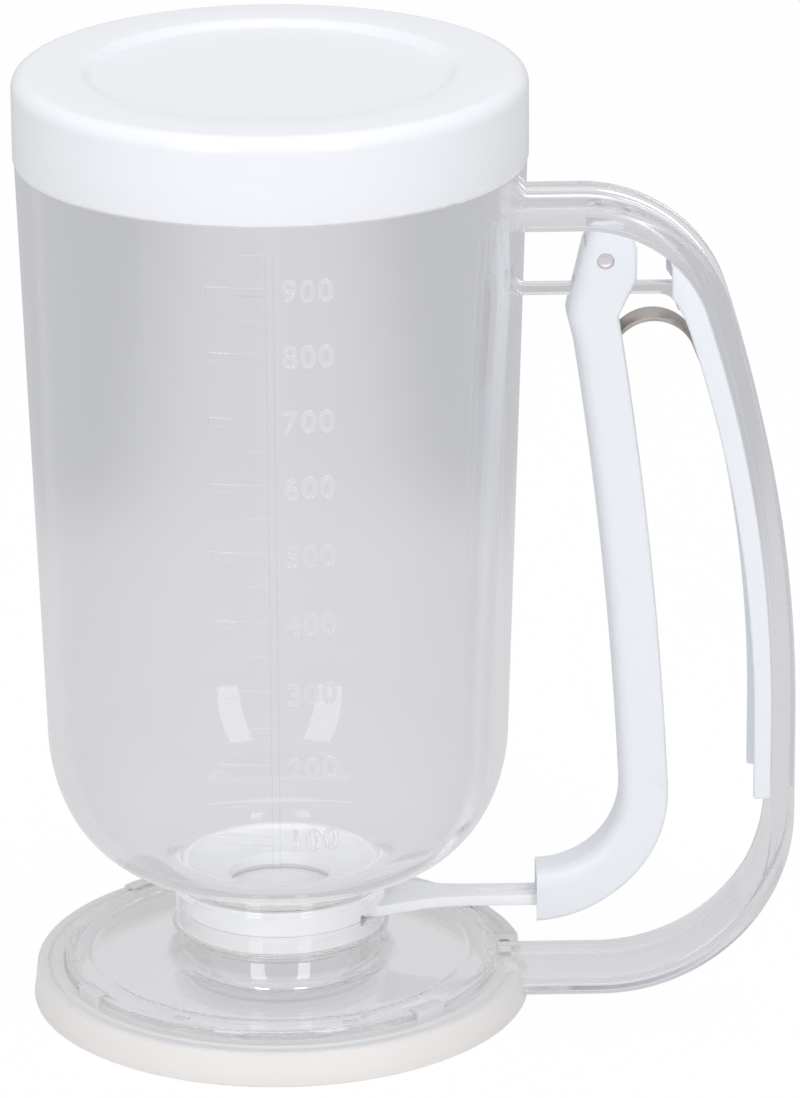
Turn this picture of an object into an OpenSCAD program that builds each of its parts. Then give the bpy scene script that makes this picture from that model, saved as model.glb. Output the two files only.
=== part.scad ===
// Batter dispenser: a clear measuring cup on a foot, emptied through a slide gate
// in its neck by a squeeze lever under the handle.
// The cup's axis is Z, the foot stands on Z = 0 and the handle points to +X.

/* [Lid] */
// How far the lid's side stands out past the top of the cup
lid_lap = 0.3; // [0:0.1:2]
// Height of the lid from its lower edge to its top
lid_h = 17.3; // [14:0.1:24]
// Thickness of the lid's skirt and top
lid_wall = 1.8; // [1.2:0.1:2.4]
// Rounding of the lid's top edge
lid_edge_r = 3.2; // [2.4:0.1:4.5]
// Width of the flat rim round the shallow dish in the lid's top
dish_rim = 13.3; // [9:0.1:20]
// Depth of the dish
dish_depth = 1.4; // [0.6:0.1:2]
// Height of the plug ring under the lid
plug_h = 5; // [3:0.5:9]

/* [Cup] */
// Outside radius of the cup just under the lid
cup_top_r = 51; // [49.6:0.1:53]
// How much narrower the cup is where the straight wall meets the bowl
cup_taper = 3.9; // [2:0.1:6]
// Height of the straight wall
cup_wall_h = 120.6; // [100:0.1:140]
// Thickness of the cup's wall
cup_wall = 2; // [1.4:0.1:2.6]
// Depth of the rounded bowl under the straight wall
bowl_drop = 28.3; // [24:0.1:34]
// Width of the flat shoulder between the bowl and the neck
bowl_shoulder = 4.8; // [3.4:0.1:7]

/* [Neck and valve] */
// Outside radius of the neck
neck_r = 22.4; // [21.8:0.1:24.4]
// Wall of the neck
neck_wall = 1.7; // [1.2:0.1:2.2]
// Height of the neck under the bowl
neck_h = 15.1; // [13.6:0.1:18]
// Diameter of the outlet hole
outlet_d = 21.4; // [16:0.2:23]
// How far the gate laps over the edge of the outlet hole
gate_lap = 2.1; // [1.4:0.1:2.6]
// Thickness of the gate and of its stem
gate_t = 2.2; // [1.6:0.1:2.8]
// Width of the stem
stem_w = 6.4; // [5:0.1:7.2]
// Height of the ring that holds the valve seat up
ring_h = 3.9; // [3.4:0.1:4.4]
// Height of the valve seat
seat_h = 9.3; // [8.4:0.1:10.2]
// Section of the round seal on the valve seat
seal_d = 2; // [1.6:0.1:2.4]

/* [Foot] */
// Outside radius of the foot ring at the table
foot_r = 51.2; // [49:0.1:56]
// Height of the foot ring
foot_h = 7.4; // [6.6:0.1:9]
// Width of the foot ring round the clear foot plate
ring_w = 6.6; // [6.2:0.1:9]
// Height of the foot plate's top
plate_z = 9.4; // [9:0.1:11]
// Wall of the foot ring and the foot plate
foot_wall = 1.7; // [1.2:0.1:2.2]
// Height from the foot plate's top to the neck
tube_rise = 6.6; // [5.6:0.1:9]

/* [Handle] */
// Distance from the cup's wall to the back of the grip
grip_gap = 54.3; // [50:0.1:62]
// Width of the handle
handle_w = 20; // [17:0.1:24]
// Thickness of the handle's grip and upper arm
handle_t = 4.9; // [4:0.1:5.4]
// Thickness of the handle's lower arm
arm_low_t = 4; // [3.2:0.1:4.8]
// Distance from the lid's lower edge down to the upper arm
arm_drop = 9.5; // [8:0.1:14]
// Height of the lower arm over the table
arm_lift = 1.5; // [1.2:0.1:2.4]
// Radius of the grip's long curve
grip_r = 284.5; // [250:0.5:310]
// Radius of the upper bend
bend_top_r = 31.1; // [26:0.1:34]
// Angle of the upper bend
bend_top_a = 72; // [69:0.5:75]
// Radius of the lower bend
bend_low_r = 39.5; // [34:0.1:42]
// Depth of the grip liner's side walls at its top end
liner_depth_top = 5.4; // [4:0.1:6]
// Depth of the grip liner's side walls at its lower end
liner_depth_low = 3.6; // [3:0.1:5]
// Width of the grip liner
liner_w = 21; // [20:0.1:26]

/* [Lever] */
// Distance from the start of the upper bend to the pivot
pivot_in = 4.6; // [3:0.1:6]
// Distance from the upper arm down to the pivot
pivot_drop = 7.4; // [7:0.1:9]
// Diameter of the pivot pin
pin_d = 3.4; // [2.6:0.1:4]
// Width of the lever
lever_w = 12; // [10.8:0.1:14]
// Depth of the lever's section
lever_depth = 9.8; // [9.2:0.1:11]
// Wall of the lever
lever_wall = 1.8; // [1.4:0.1:2]
// Radius of the lever's lower bend at mid section
lever_bend_r = 22; // [20:0.1:25]
// How much the lever's lower end spreads downward
lever_flare = 0.9; // [0:0.1:1.6]
// Diameter of the link pin
link_d = 3; // [2.4:0.1:3.4]
// Thickness of the leaf spring
spring_t = 0.8; // [0.5:0.05:1]
// Width of the leaf spring
spring_w = 7.6; // [5:0.1:7.8]

/* [Hidden] */

// Clearances
slide_gap = 0.2;
press_gap = 0.02;
turn_gap = 0.05;
seat_gap = 0.1;
lid_gap = 0.3;

// Heights, from the table up
neck_z = plate_z + tube_rise;
bowl_z = neck_z + neck_h;
knee_z = bowl_z + bowl_drop;
shoulder_z = knee_z + cup_wall_h;
lid_z = shoulder_z + lid_gap;
lid_top_z = lid_z + lid_h;
roof_z = lid_top_z - lid_wall - dish_depth;
rim_z = roof_z - lid_gap;
seat_z = neck_z + ring_h;
gate_z = seat_z + 0.2;
seat_top_z = seat_z + seat_h;

// Radii
cup_knee_r = cup_top_r - cup_taper;
bowl_foot_r = neck_r + bowl_shoulder;
plate_r = foot_r - ring_w;
bore_r = neck_r - neck_wall;
outlet_r = outlet_d / 2;
gate_r = outlet_r + gate_lap;
gate_travel = outlet_r + gate_r;
lid_r = cup_top_r + lid_lap;
dish_r = lid_r - dish_rim;
rim_r = lid_r - lid_wall - lid_gap;
mouth_r = rim_r - cup_wall;
slot_half_w = gate_r + slide_gap;

// Outline steps
ARC = 12;
FINE = 72;

function lerp(a, b, t) = a + (b - a) * t;
function polar(r, a) = [r * cos(a), r * sin(a)];
function arc(c, r, a0, a1, n = ARC) = [for (i = [0:n]) c + polar(r, lerp(a0, a1, i / n))];
function flip(list) = [for (i = [len(list) - 1:-1:0]) list[i]];
function sum(list, i = 0) = i < len(list) ? list[i] + sum(list, i + 1) : 0;

// Cup profile: radius of the wall's outside at a height
function cone_r(z) = lerp(cup_knee_r, cup_top_r, (z - knee_z) / cup_wall_h);
bowl_c = [bowl_foot_r, knee_z];
function bowl_arc(off) = [for (i = [0:ARC]) let (a = lerp(0, -90, i / ARC))
    bowl_c + [(cup_knee_r - bowl_foot_r - off) * cos(a), (bowl_drop - off) * sin(a)]];
neck_fillet = bowl_foot_r - neck_r;

// Upright section drawn in the XZ plane and given a width along Y
module slab(w) {
    rotate([90, 0, 0]) linear_extrude(w, center = true) children();
}

// Sector of a ring, from angle a0 to a1
module ring_sector(r0, r1, z0, z1, a0, a1) {
    rotate([0, 0, a0]) rotate_extrude(angle = a1 - a0, $fn = FINE)
        translate([r0, z0]) square([r1 - r0, z1 - z0]);
}

/* Lid */
module lid() {
    inner_r = lid_r - lid_wall;
    edge_c = [lid_r - lid_edge_r, lid_top_z - lid_edge_r];
    color("white") {
        rotate_extrude($fn = 2 * FINE) polygon(concat(
            [[0, roof_z], [inner_r, roof_z], [inner_r, lid_z], [lid_r, lid_z]],
            arc(edge_c, lid_edge_r, 0, 90, 6),
            [[dish_r, lid_top_z], [dish_r - 2 * dish_depth, lid_top_z - dish_depth],
             [0, lid_top_z - dish_depth]]));
        rotate_extrude($fn = 2 * FINE)
            translate([mouth_r - lid_gap - lid_wall, roof_z - plug_h]) square([lid_wall, plug_h]);
    }
}

/* Cup with its neck and raised measuring scale */
scale_relief = 0.35;
scale_stroke = 1.5;
tick_h = 1.9;
tick_long = 12.4;
tick_short = 6;
scale_x = 0.1;
scale_low_z = 44;
// Lowest and highest numbered marks, and the step between ticks, in millilitres
scale_min = 100;
scale_max = 900;
scale_step = 50;

function inner_r(z) = cone_r(z) - cup_wall;
slope = (cup_top_r - cup_knee_r) / cup_wall_h;
// Volume of the bowl, added up from thin discs, in cubic millimetres
BOWL_SLICES = 40;
bowl_in_r = cup_knee_r - bowl_foot_r - cup_wall;
bowl_in_h = bowl_drop - cup_wall;
function bowl_slice(i) = let (t = (i + 0.5) / BOWL_SLICES)
    PI * pow(bowl_foot_r + bowl_in_r * sqrt(1 - t * t), 2) * bowl_in_h / BOWL_SLICES;
bowl_volume = sum([for (i = [0:BOWL_SLICES - 1]) bowl_slice(i)]);
// Depth under the knee at which the bowl holds a volume less than when it is full to the knee
function bowl_depth(v, i = 0) = v < bowl_slice(i)
    ? (i + v / bowl_slice(i)) * bowl_in_h / BOWL_SLICES : bowl_depth(v - bowl_slice(i), i + 1);
neck_volume = PI * pow(bore_r, 2) * (bowl_z - seat_top_z) + PI * pow(outlet_r, 2) * seat_h;
// Height of the mark for a volume in millilitres, on the straight wall or on the bowl
function fill_v(ml) = ml * 1000 - bowl_volume - neck_volume;
function fill_r(ml) = pow(pow(inner_r(knee_z), 3) + 3 * slope * fill_v(ml) / PI, 1 / 3);
function mark_z(ml) = fill_v(ml) < 0 ? knee_z - bowl_depth(-fill_v(ml))
    : knee_z + (fill_r(ml) - inner_r(knee_z)) / slope;

// Block in front of the cup that spans part of the scale
module scale_block(x0, x1, z0, z1) {
    translate([x0, -cup_top_r - 2, z0]) cube([x1 - x0, cup_top_r, z1 - z0]);
}

// Upright line with a long tick at each hundred and a short one half way between
module measuring_scale() {
    half = tick_h / 2;
    line_x = scale_x - scale_stroke;
    top_z = mark_z(scale_max + scale_step) + half;
    difference() {
        intersection() {
            union() {
                scale_block(line_x, scale_x, scale_low_z, top_z);
                for (ml = [scale_min:scale_step:scale_max + scale_step])
                    scale_block(scale_x - (ml % 100 == 0 ? tick_long : tick_short), scale_x,
                        mark_z(ml) - half, mark_z(ml) + half);
            }
            cup_skin(scale_relief);
        }
        cup_skin(-cup_wall / 2);
    }
}

// Solid inside the cup's outer face, moved outward by off
module cup_skin(off) {
    rotate_extrude($fn = 2 * FINE) polygon(concat(
        [[0, bowl_z - off]], flip(bowl_arc(-off)),
        [[cup_top_r + off, shoulder_z], [0, shoulder_z]]));
}

module cup_cone(off) {
    translate([0, 0, knee_z])
        cylinder(h = cup_wall_h, r1 = cup_knee_r + off, r2 = cup_top_r + off, $fn = 2 * FINE);
}

module cup_shell() {
    rotate_extrude($fn = 2 * FINE) polygon(concat(
        [[neck_r, neck_z]],
        arc([bowl_foot_r, bowl_z - neck_fillet], neck_fillet, 180, 90, 5),
        flip(bowl_arc(0)),
        [[cup_top_r, shoulder_z], [rim_r, shoulder_z], [rim_r, rim_z], [mouth_r, rim_z],
         [mouth_r, shoulder_z - 2 * cup_wall]],
        bowl_arc(cup_wall),
        [[bore_r, bowl_z + cup_wall], [bore_r, neck_z]]));
}

module gate_window() {
    translate([0, -slot_half_w, gate_z - gate_t / 2 - slide_gap])
        cube([neck_r + gate_travel, 2 * slot_half_w, gate_t + 2 * slide_gap]);
}

module cup() {
    color("lightsteelblue", 0.5) difference() {
        union() {
            cup_shell();
            measuring_scale();
        }
        gate_window();
    }
}

/* Valve */
module valve_seat() {
    color("white") difference() {
        translate([0, 0, seat_z]) cylinder(h = seat_h, r = bore_r - seat_gap, $fn = FINE);
        translate([0, 0, seat_z - 1]) cylinder(h = seat_h + 2, r = outlet_r, $fn = FINE);
        gate_channel();
        seat_groove();
        gate_seal_pocket();
    }
}

// Flat seal round the outlet, on top of the gate
gate_seal_w = 1.8;
gate_seal_h = 1;
gate_seal_z = gate_z + gate_t / 2 + slide_gap / 2;
module gate_seal_pocket() {
    translate([0, 0, gate_z])
        cylinder(h = gate_seal_z - gate_z + gate_seal_h, r = outlet_r + gate_seal_w, $fn = FINE);
}

// The round seal runs in a groove this far under the seat's top
seal_drop = 1;
seal_mid_z = seat_top_z - seal_drop - seal_d;
module seat_groove() {
    rotate_extrude($fn = FINE) translate([bore_r - seal_d - seat_gap, seal_mid_z - seal_d / 2])
        square([seal_d + 1, seal_d]);
}

module seat_seal() {
    color("gray") rotate_extrude($fn = FINE)
        translate([bore_r - (seal_d + seat_gap) / 2, seal_mid_z]) circle(d = seal_d - seat_gap, $fn = 24);
}

module gate_seal() {
    color("gainsboro") translate([0, 0, gate_seal_z]) difference() {
        cylinder(h = gate_seal_h - press_gap, r = outlet_r + gate_seal_w - press_gap, $fn = FINE);
        translate([0, 0, -1]) cylinder(h = gate_seal_h + 2, r = outlet_r, $fn = FINE);
    }
}

module retaining_ring() {
    color("lightsteelblue", 0.6) difference() {
        translate([0, 0, neck_z]) cylinder(h = ring_h - press_gap, r = bore_r - seat_gap, $fn = FINE);
        translate([0, 0, neck_z - 1]) cylinder(h = ring_h + 2, r = outlet_r, $fn = FINE);
        gate_channel();
    }
}

// Room that the gate slides in, half in the retaining ring and half in the seat
module gate_channel() {
    room_h = gate_t + slide_gap;
    translate([0, 0, gate_z - room_h / 2]) {
        cylinder(h = room_h, r = slot_half_w, $fn = FINE);
        translate([0, -slot_half_w, 0]) cube([neck_r, 2 * slot_half_w, room_h]);
    }
}

// The gate: a disc with a stem that tapers out of it and ends at the link pin
stem_taper = 7.6;
taper_x = neck_r + stem_taper;
link_gap = 6.5;
link_x = cup_top_r + link_gap;
link_wall = 1.2;
module gate() {
    half = stem_w / 2;
    end_x = link_x + link_d;
    root = [outlet_r / 2, gate_r * 0.85];
    color("white") difference() {
        translate([0, 0, gate_z - gate_t / 2]) union() {
            cylinder(h = gate_t, r = gate_r, $fn = FINE);
            linear_extrude(gate_t) polygon([root, [taper_x, half], [end_x, half],
                [end_x, -half], [taper_x, -half], [root[0], -root[1]]]);
            translate([link_x, 0, 0]) link_boss();
        }
        translate([link_x, 0, gate_z]) rotate([90, 0, 0])
            cylinder(h = lever_w, d = link_d + 2 * press_gap, center = true, $fn = 36);
        stem_groove();
    }
}

module link_boss() {
    translate([0, 0, gate_t / 2]) rotate([90, 0, 0])
        cylinder(h = stem_w, d = link_d + 2 * link_wall, center = true, $fn = 36);
}

stem_groove_w = 1.2;
stem_groove_depth = 0.5;
module stem_groove() {
    x0 = taper_x + 9;
    x1 = link_x - link_d - 1;
    translate([x0, -stem_groove_w / 2, gate_z + gate_t / 2 - stem_groove_depth])
        cube([x1 - x0, stem_groove_w, 2 * stem_groove_depth]);
}

module link_pin() {
    color("silver") translate([link_x, 0, gate_z]) rotate([90, 0, 0])
        cylinder(h = lever_w - 2 * lever_wall + 2 * link_depth - 2 * slide_gap, d = link_d,
            center = true, $fn = 36);
}

/* Foot */
// Clear plate: a flange under the neck, a tube that the batter runs down, and a skirt
spout_z = 4;
flange_t = 1.2;
flange_step = 1;
flange_lap = 2.4;
tube_fillet = 2;
plate_edge = 0.8;
notch_w = 3.6;
notch_len = 1.4;
notch_depth = 0.7;
notch_inset = 3.4;
notch_angles = [66, 114, 246, 294];
foot_lip = 1.6;
foot_lip_w = 2.4;
module foot_plate() {
    skirt_z = foot_lip + slide_gap;
    underside_z = plate_z - foot_wall;
    flange_z = neck_z - press_gap;
    tube_out_r = neck_r - flange_lap;
    tube_r = tube_out_r - foot_wall;
    color("lightsteelblue", 0.5) difference() {
        rotate_extrude($fn = 2 * FINE) polygon(concat(
            [[tube_r, flange_z], [neck_r, flange_z], [neck_r, neck_z - flange_t],
             [tube_out_r, neck_z - flange_t - flange_step]],
            arc([tube_out_r + tube_fillet, plate_z + tube_fillet], tube_fillet, 180, 270, 5),
            [[plate_r - plate_edge, plate_z], [plate_r, plate_z - plate_edge], [plate_r, skirt_z],
             [plate_r - foot_wall, skirt_z], [plate_r - foot_wall, underside_z],
             [tube_r + foot_wall, underside_z], [tube_r + foot_wall, spout_z], [tube_r, spout_z]]));
        for (a = notch_angles) rotate([0, 0, a])
            translate([plate_r - notch_inset, -notch_w / 2, plate_z - notch_depth])
                cube([notch_len, notch_w, 2 * notch_depth]);
    }
}

// Milky ring that snaps on round the plate and is held down by four tabs
tab_angles = [40, 140, 220, 320];
tab_half_a = 6;
tab_h = 0.7;
tab_reach = 1.6;
tab_t = 1.2;
tab_inset = 0.3;
ring_draft = 0.6;
ring_edge_r = 1.6;
ring_bead_w = 3.6;
ring_bead_h = 0.5;
module foot_ring() {
    in_r = plate_r + slide_gap;
    web_z = foot_h - foot_wall;
    edge_c = [foot_r - ring_edge_r - 1, foot_h - ring_edge_r];
    bead_r = foot_r - ring_bead_w;
    color("antiquewhite", 0.8) difference() {
        union() {
            rotate_extrude($fn = 2 * FINE) polygon(concat(
                [[in_r - foot_lip_w, 0], [in_r + foot_wall, 0], [in_r + foot_wall, web_z],
                 [foot_r - foot_wall - ring_draft, web_z], [foot_r - foot_wall, 0],
                 [foot_r - ring_draft, 0], [foot_r, ring_draft]],
                arc(edge_c, ring_edge_r, 10, 90, 5),
                [[bead_r + ring_bead_h, foot_h], [bead_r, foot_h - ring_bead_h],
                 [bead_r - ring_bead_h, foot_h], [in_r, foot_h], [in_r, foot_lip],
                 [in_r - foot_lip_w, foot_lip]]));
            for (a = tab_angles) ring_tab(a, in_r);
        }
        translate([0, -handle_w / 2 - slide_gap, arm_lift - slide_gap])
            cube([foot_r + 1, handle_w + 2 * slide_gap, foot_h]);
    }
}

module ring_tab(a, in_r) {
    top_z = plate_z + slide_gap + tab_h;
    a0 = a - tab_half_a;
    a1 = a + tab_half_a;
    stand_r = in_r + tab_inset;
    ring_sector(stand_r, stand_r + tab_t, foot_h - foot_wall / 2, top_z, a0, a1);
    ring_sector(in_r - tab_reach, stand_r + tab_t / 2, top_z - tab_h, top_z, a0, a1);
}

/* Handle: its outline, from the upper arm round to the lower arm, at a depth below its outer face */
arm_top_z = shoulder_z + lid_gap - arm_drop;
reach = cup_top_r + grip_gap;
grip_a = 90 - bend_top_a;
bend_end_x = reach - grip_r * (1 - cos(grip_a));
bend_c = [bend_end_x - bend_top_r * cos(grip_a), arm_top_z - bend_top_r];
grip_c = bend_c - polar(grip_r - bend_top_r, grip_a);
low_c = [reach - bend_low_r, arm_lift + bend_low_r];
function grip_line(off) = concat(
    arc(bend_c, bend_top_r - off, 90, grip_a), arc(grip_c, grip_r - off, grip_a, 0));
// The lower bend's depth eases from the grip's to the lower arm's over its first third
function low_line(off, low) = [for (i = [0:ARC])
    low_c + polar(bend_low_r - lerp(off, low, min(1, 3 * i / ARC)), -90 * i / ARC)];
function handle_line(off, low, x0, x1) = concat([[x0, arm_top_z - off]], grip_line(off),
    low_line(off, low), [[x1, arm_lift + low]]);
function band(off0, off1, low0, low1, x0, x1) =
    concat(handle_line(off0, low0, x0, x1), flip(handle_line(off1, low1, x0, x1)));

// How far the lower arm runs in under the plate's edge before the plate is cut out of it
arm_root = 4;
// Wide groove down the outer face, and a fine one along each side, near the inner face
groove_w = 11;
groove_depth = 1.1;
groove_end = 3;
side_groove_w = 0.5;
side_groove_in = 1.1;
// Bar from the cup to the grip, with a gusset at the grip, and the lug that holds the pivot
bar_drop = 18.4;
bar_w = 3;
bar_t = 2.2;
bar_z = arm_top_z - bar_drop;
gusset_h = 5.4;
gusset_r = 3.6;
gusset_gap = 11;
lug_wall = 2.1;
lug_r = pin_d / 2 + lug_wall;
module handle() {
    color("lightsteelblue", 0.6) difference() {
        union() {
            slab(handle_w) polygon(band(0, handle_t, 0, arm_low_t, cup_knee_r, plate_r - arm_root));
            slab(bar_w) bar_outline();
            slab(lug_w) lug_outline();
        }
        slab(groove_w) polygon(band(-1, groove_depth, -1, groove_depth,
            cup_top_r + groove_end, foot_r + groove_end));
        for (side = [-1, 1]) translate([0, side * handle_w / 2, 0]) side_groove();
        cup_cone(press_gap);
        foot_plate_core();
        translate([pivot[0], 0, pivot[1]]) rotate([90, 0, 0])
            cylinder(h = handle_w + 2, d = pin_d + 2 * turn_gap, center = true, $fn = 48);
    }
}

module side_groove() {
    off = handle_t - side_groove_in;
    low = arm_low_t - side_groove_in;
    slab(2 * side_groove_w) polygon(band(off - side_groove_w, off, low - side_groove_w, low,
        cup_top_r + 1, foot_r + 1));
}

// Solid envelope of the foot plate, cut out of what joins it
module foot_plate_core() {
    cylinder(h = plate_z, r = plate_r + press_gap, $fn = 2 * FINE);
}

module bar_outline() {
    end_z = bar_z - gusset_h;
    polygon(concat(
        [[cup_knee_r, bar_z], [grip_x(bar_z) + 1, bar_z], [grip_x(end_z) + 1, end_z]],
        arc([pivot[0] + gusset_gap, bar_z - bar_t - gusset_r], gusset_r, 0, 90, 5),
        [[cup_knee_r, bar_z - bar_t]]));
}

// X of the handle's inner face at a height on the upper bend
function grip_x(z) = bend_c[0] + sqrt(pow(bend_top_r - handle_t, 2) - pow(z - bend_c[1], 2));

pivot = [bend_c[0] + pivot_in, arm_top_z - handle_t - pivot_drop];
lever_in_w = lever_w - 2 * lever_wall;
lug_w = lever_in_w - 2 * lid_gap;
module lug_outline() {
    translate(pivot) circle(lug_r, $fn = 48);
    translate(pivot + [-lug_r, 0]) square([2 * lug_r, pivot_drop + handle_t / 2]);
}

/* White liner in the grip: a channel that opens toward the lever */
liner_t = 1;
liner_gap = 13;
liner_top_x = pivot[0] + liner_gap;
liner_rise = 3.6;
liner_end_z = low_c[1] + liner_rise;
// A line along the grip whose depth changes evenly from its top end to its lower end
function grip_ramp(top, low) = let (a = grip_line(top), b = grip_line(low), n = len(a) - 1)
    concat([for (i = [0:n]) lerp(a[i], b[i], i / n)], [[reach - low, low_c[1]]]);
function grip_band(off, top, low) = concat(grip_ramp(off, off), flip(grip_ramp(top, low)));

module grip_liner() {
    color("white") difference() {
        slab(liner_w) intersection() {
            polygon(grip_band(handle_t + press_gap, handle_t + liner_depth_top, handle_t + liner_depth_low));
            translate([liner_top_x, liner_end_z]) square([reach, arm_top_z]);
        }
        slab(liner_w - 2 * liner_t) polygon(grip_band(handle_t + liner_t,
            handle_t + 2 * liner_depth_top, handle_t + 2 * liner_depth_top));
        slab(bar_w + 2 * slide_gap) translate([0, bar_z - gusset_h - slide_gap]) square([reach, bar_z]);
    }
}

/* Lever: a channel that opens toward the grip */
// The head, from the pivot: reach to the cup's side, to the grip's side and upward
head_in = 3.2;
head_out = 6.3;
head_top = 5.6;
head_r_in = 3;
head_r_out = 4;
// The shoulder under the head on each side, from the pivot
shoulder_in = [-7.7, -11.6];
shoulder_out = [3.3, -10.2];
cheek_low = -4.2;
// The middle line leaves the head here, turns slowly down to the lower bend, and ends past the link
stalk = [-1.5, -16.3];
lever_turn = 6.2;
link_rise = 2;
link_end = 4.7;
lever_top = pivot + stalk;
lever_low_c = [link_x - link_end, gate_z + link_rise + lever_bend_r];
lever_chord = lever_top - lever_low_c;
lever_sweep = (lever_bend_r + sqrt(pow(lever_bend_r, 2)
    + 2 * (lever_chord * lever_chord - pow(lever_bend_r, 2)) / (1 - cos(lever_turn)))) / 2;
chord_at_zero = polar(lever_sweep, lever_turn) - [lever_sweep - lever_bend_r, 0];
lean_low = heading(lever_chord) - heading(chord_at_zero);
lean_top = lean_low + lever_turn;
lever_c = lever_top - polar(lever_sweep, lean_top);
function heading(v) = atan2(v[1], v[0]);
// The lower side of the end spreads a little over the last part of the bend
function flare(i) = lever_flare * max(0, 2.5 * i / ARC - 1.5);
function lever_line(off) = concat(arc(lever_c, lever_sweep + off, lean_top, lean_low, 8),
    [for (i = [0:ARC]) lever_low_c + polar(lever_bend_r + off + (off > 0 ? flare(i) : 0),
        lerp(lean_low, -90, i / ARC))]);
half_depth = lever_depth / 2;
link_depth = 1;

module lever_outline() {
    polygon(concat(
        [pivot + shoulder_in], lever_line(-half_depth), flip(lever_line(half_depth)),
        [pivot + shoulder_out, pivot + [head_out, cheek_low]],
        arc(pivot + [head_out - head_r_out, head_top - head_r_out], head_r_out, 0, 90, 6),
        arc(pivot + [head_r_in - head_in, head_top - head_r_in], head_r_in, 90, 165, 6)));
}

// The hollow is open at the back and over the head, and leaves a web at the end
module lever_hollow() {
    open = half_depth + 1;
    end_x = lever_low_c[0] - 1;
    end_z = lever_low_c[1] - lever_bend_r;
    head_x = pivot[0] - lug_r - lid_gap;
    back_x = pivot[0] + head_out + 2;
    over_z = pivot[1] + head_top + 1;
    polygon(concat(
        [pivot + shoulder_in + [lever_wall, lever_wall / 2]], lever_line(-half_depth + lever_wall),
        [[end_x, end_z + half_depth - lever_wall], [end_x, end_z - open]],
        flip(lever_line(open)), [[back_x, lever_top[1]], [back_x, over_z], [head_x, over_z],
        [head_x, pivot[1]]]));
}

// Room for the cross bar as the lever swings, and for the link pin along its slot
bar_room = 0.8;
link_play = 1;
module lever() {
    link_slot = link_d + 2 * slide_gap;
    color("white") difference() {
        slab(lever_w) lever_outline();
        slab(lever_in_w) lever_hollow();
        slab(bar_w + 4 * slide_gap)
            translate([pivot[0] + shoulder_in[0] - 2, bar_z - bar_t - bar_room])
            square([2 - shoulder_in[0], bar_t + 3 * bar_room]);
        translate([pivot[0], 0, pivot[1]]) rotate([90, 0, 0])
            cylinder(h = lever_w + 2, d = pin_d + 2 * press_gap, center = true, $fn = 48);
        translate([link_x - link_slot / 2, -lever_in_w / 2 - link_depth,
                gate_z - link_slot / 2 - link_play])
            cube([link_slot, lever_in_w + 2 * link_depth, link_slot + 2 * link_play]);
    }
}

pin_recess = 0.4;
module pivot_pin() {
    color("rosybrown") translate([pivot[0], 0, pivot[1]]) rotate([90, 0, 0])
        cylinder(h = lever_w - 2 * pin_recess, d = pin_d, center = true, $fn = 48);
}

/* Leaf spring: a bent strip that pushes the lever and the grip apart */
arch_r = 8.8;
arch_c = pivot + [9.8, -21.7];
// Each leg runs from the arch to where it presses, on the lever's floor and on the liner's
function floor_point(line, share) = line[round(share * (len(line) - 1))];
rest_left = floor_point(lever_line(-half_depth + lever_wall + slide_gap + spring_t / 2), 0.1);
rest_right = floor_point(grip_line(handle_t + liner_t + slide_gap + spring_t / 2), 0.68);
// Angle on the arch where a leg to a point leaves it, on the given side
function leave_at(point, side) = let (v = point - arch_c) heading(v) - side * acos(arch_r / norm(v));
function leaf(off) = let (
        a0 = leave_at(rest_left, 1) + 360, a1 = leave_at(rest_right, -1),
        along0 = polar(off, a0), along1 = polar(off, a1))
    concat([rest_left + along0], arc(arch_c, arch_r + off, a0, a1, 16), [rest_right + along1]);
module leaf_spring() {
    color("dimgray") slab(spring_w) polygon(concat(leaf(spring_t / 2), flip(leaf(-spring_t / 2))));
}

lid();
cup();
foot_plate();
foot_ring();
handle();
grip_liner();
lever();
pivot_pin();
leaf_spring();
valve_seat();
seat_seal();
gate_seal();
retaining_ring();
gate();
link_pin();
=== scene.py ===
"""Batter dispenser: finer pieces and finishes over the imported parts.

Sizes in the classes are millimetres in the parts' own frame, and the bench turns them into metres.
The cup's axis is Z, the foot stands on Z = 0 and the handle points to +X.
"""
import logging
import math
from dataclasses import dataclass, field
from enum import Enum
from typing import Callable, Iterable, Sequence

import bmesh
import bpy
from mathutils import Matrix, Vector


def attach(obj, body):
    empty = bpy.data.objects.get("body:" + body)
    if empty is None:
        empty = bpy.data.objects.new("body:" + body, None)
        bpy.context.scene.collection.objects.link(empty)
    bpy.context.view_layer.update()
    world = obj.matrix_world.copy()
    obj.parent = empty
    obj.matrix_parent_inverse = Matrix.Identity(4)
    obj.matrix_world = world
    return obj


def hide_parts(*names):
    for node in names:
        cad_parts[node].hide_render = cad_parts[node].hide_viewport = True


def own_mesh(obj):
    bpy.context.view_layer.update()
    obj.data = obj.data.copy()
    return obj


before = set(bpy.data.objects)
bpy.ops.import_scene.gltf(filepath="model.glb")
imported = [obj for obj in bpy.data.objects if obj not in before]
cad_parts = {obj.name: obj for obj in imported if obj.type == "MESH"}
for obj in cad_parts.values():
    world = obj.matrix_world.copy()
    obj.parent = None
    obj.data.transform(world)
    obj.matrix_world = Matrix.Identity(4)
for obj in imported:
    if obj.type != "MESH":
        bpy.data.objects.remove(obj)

log = logging.getLogger("dispenser")
MM = 0.001
UP = (0, 0, 1)
ALONG_Y = (0, 1, 0)
AGAINST_Y = (0, -1, 0)
MIDDLE = (0, 0, 0)
WHITE = (1, 1, 1)
Point = tuple[float, float]
Point3 = tuple[float, float, float]
Colour = Sequence[float]


class Body(Enum):
    """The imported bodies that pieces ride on."""

    FRAME = "frame"
    LID = "lid"
    LEVER = "lever"
    GATE = "gate"


class Join(Enum):
    """How one solid acts on another."""

    ADD = "UNION"
    CUT = "DIFFERENCE"
    KEEP = "INTERSECT"


# ---------------------------------------------------------------- drawing in a plane


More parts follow.
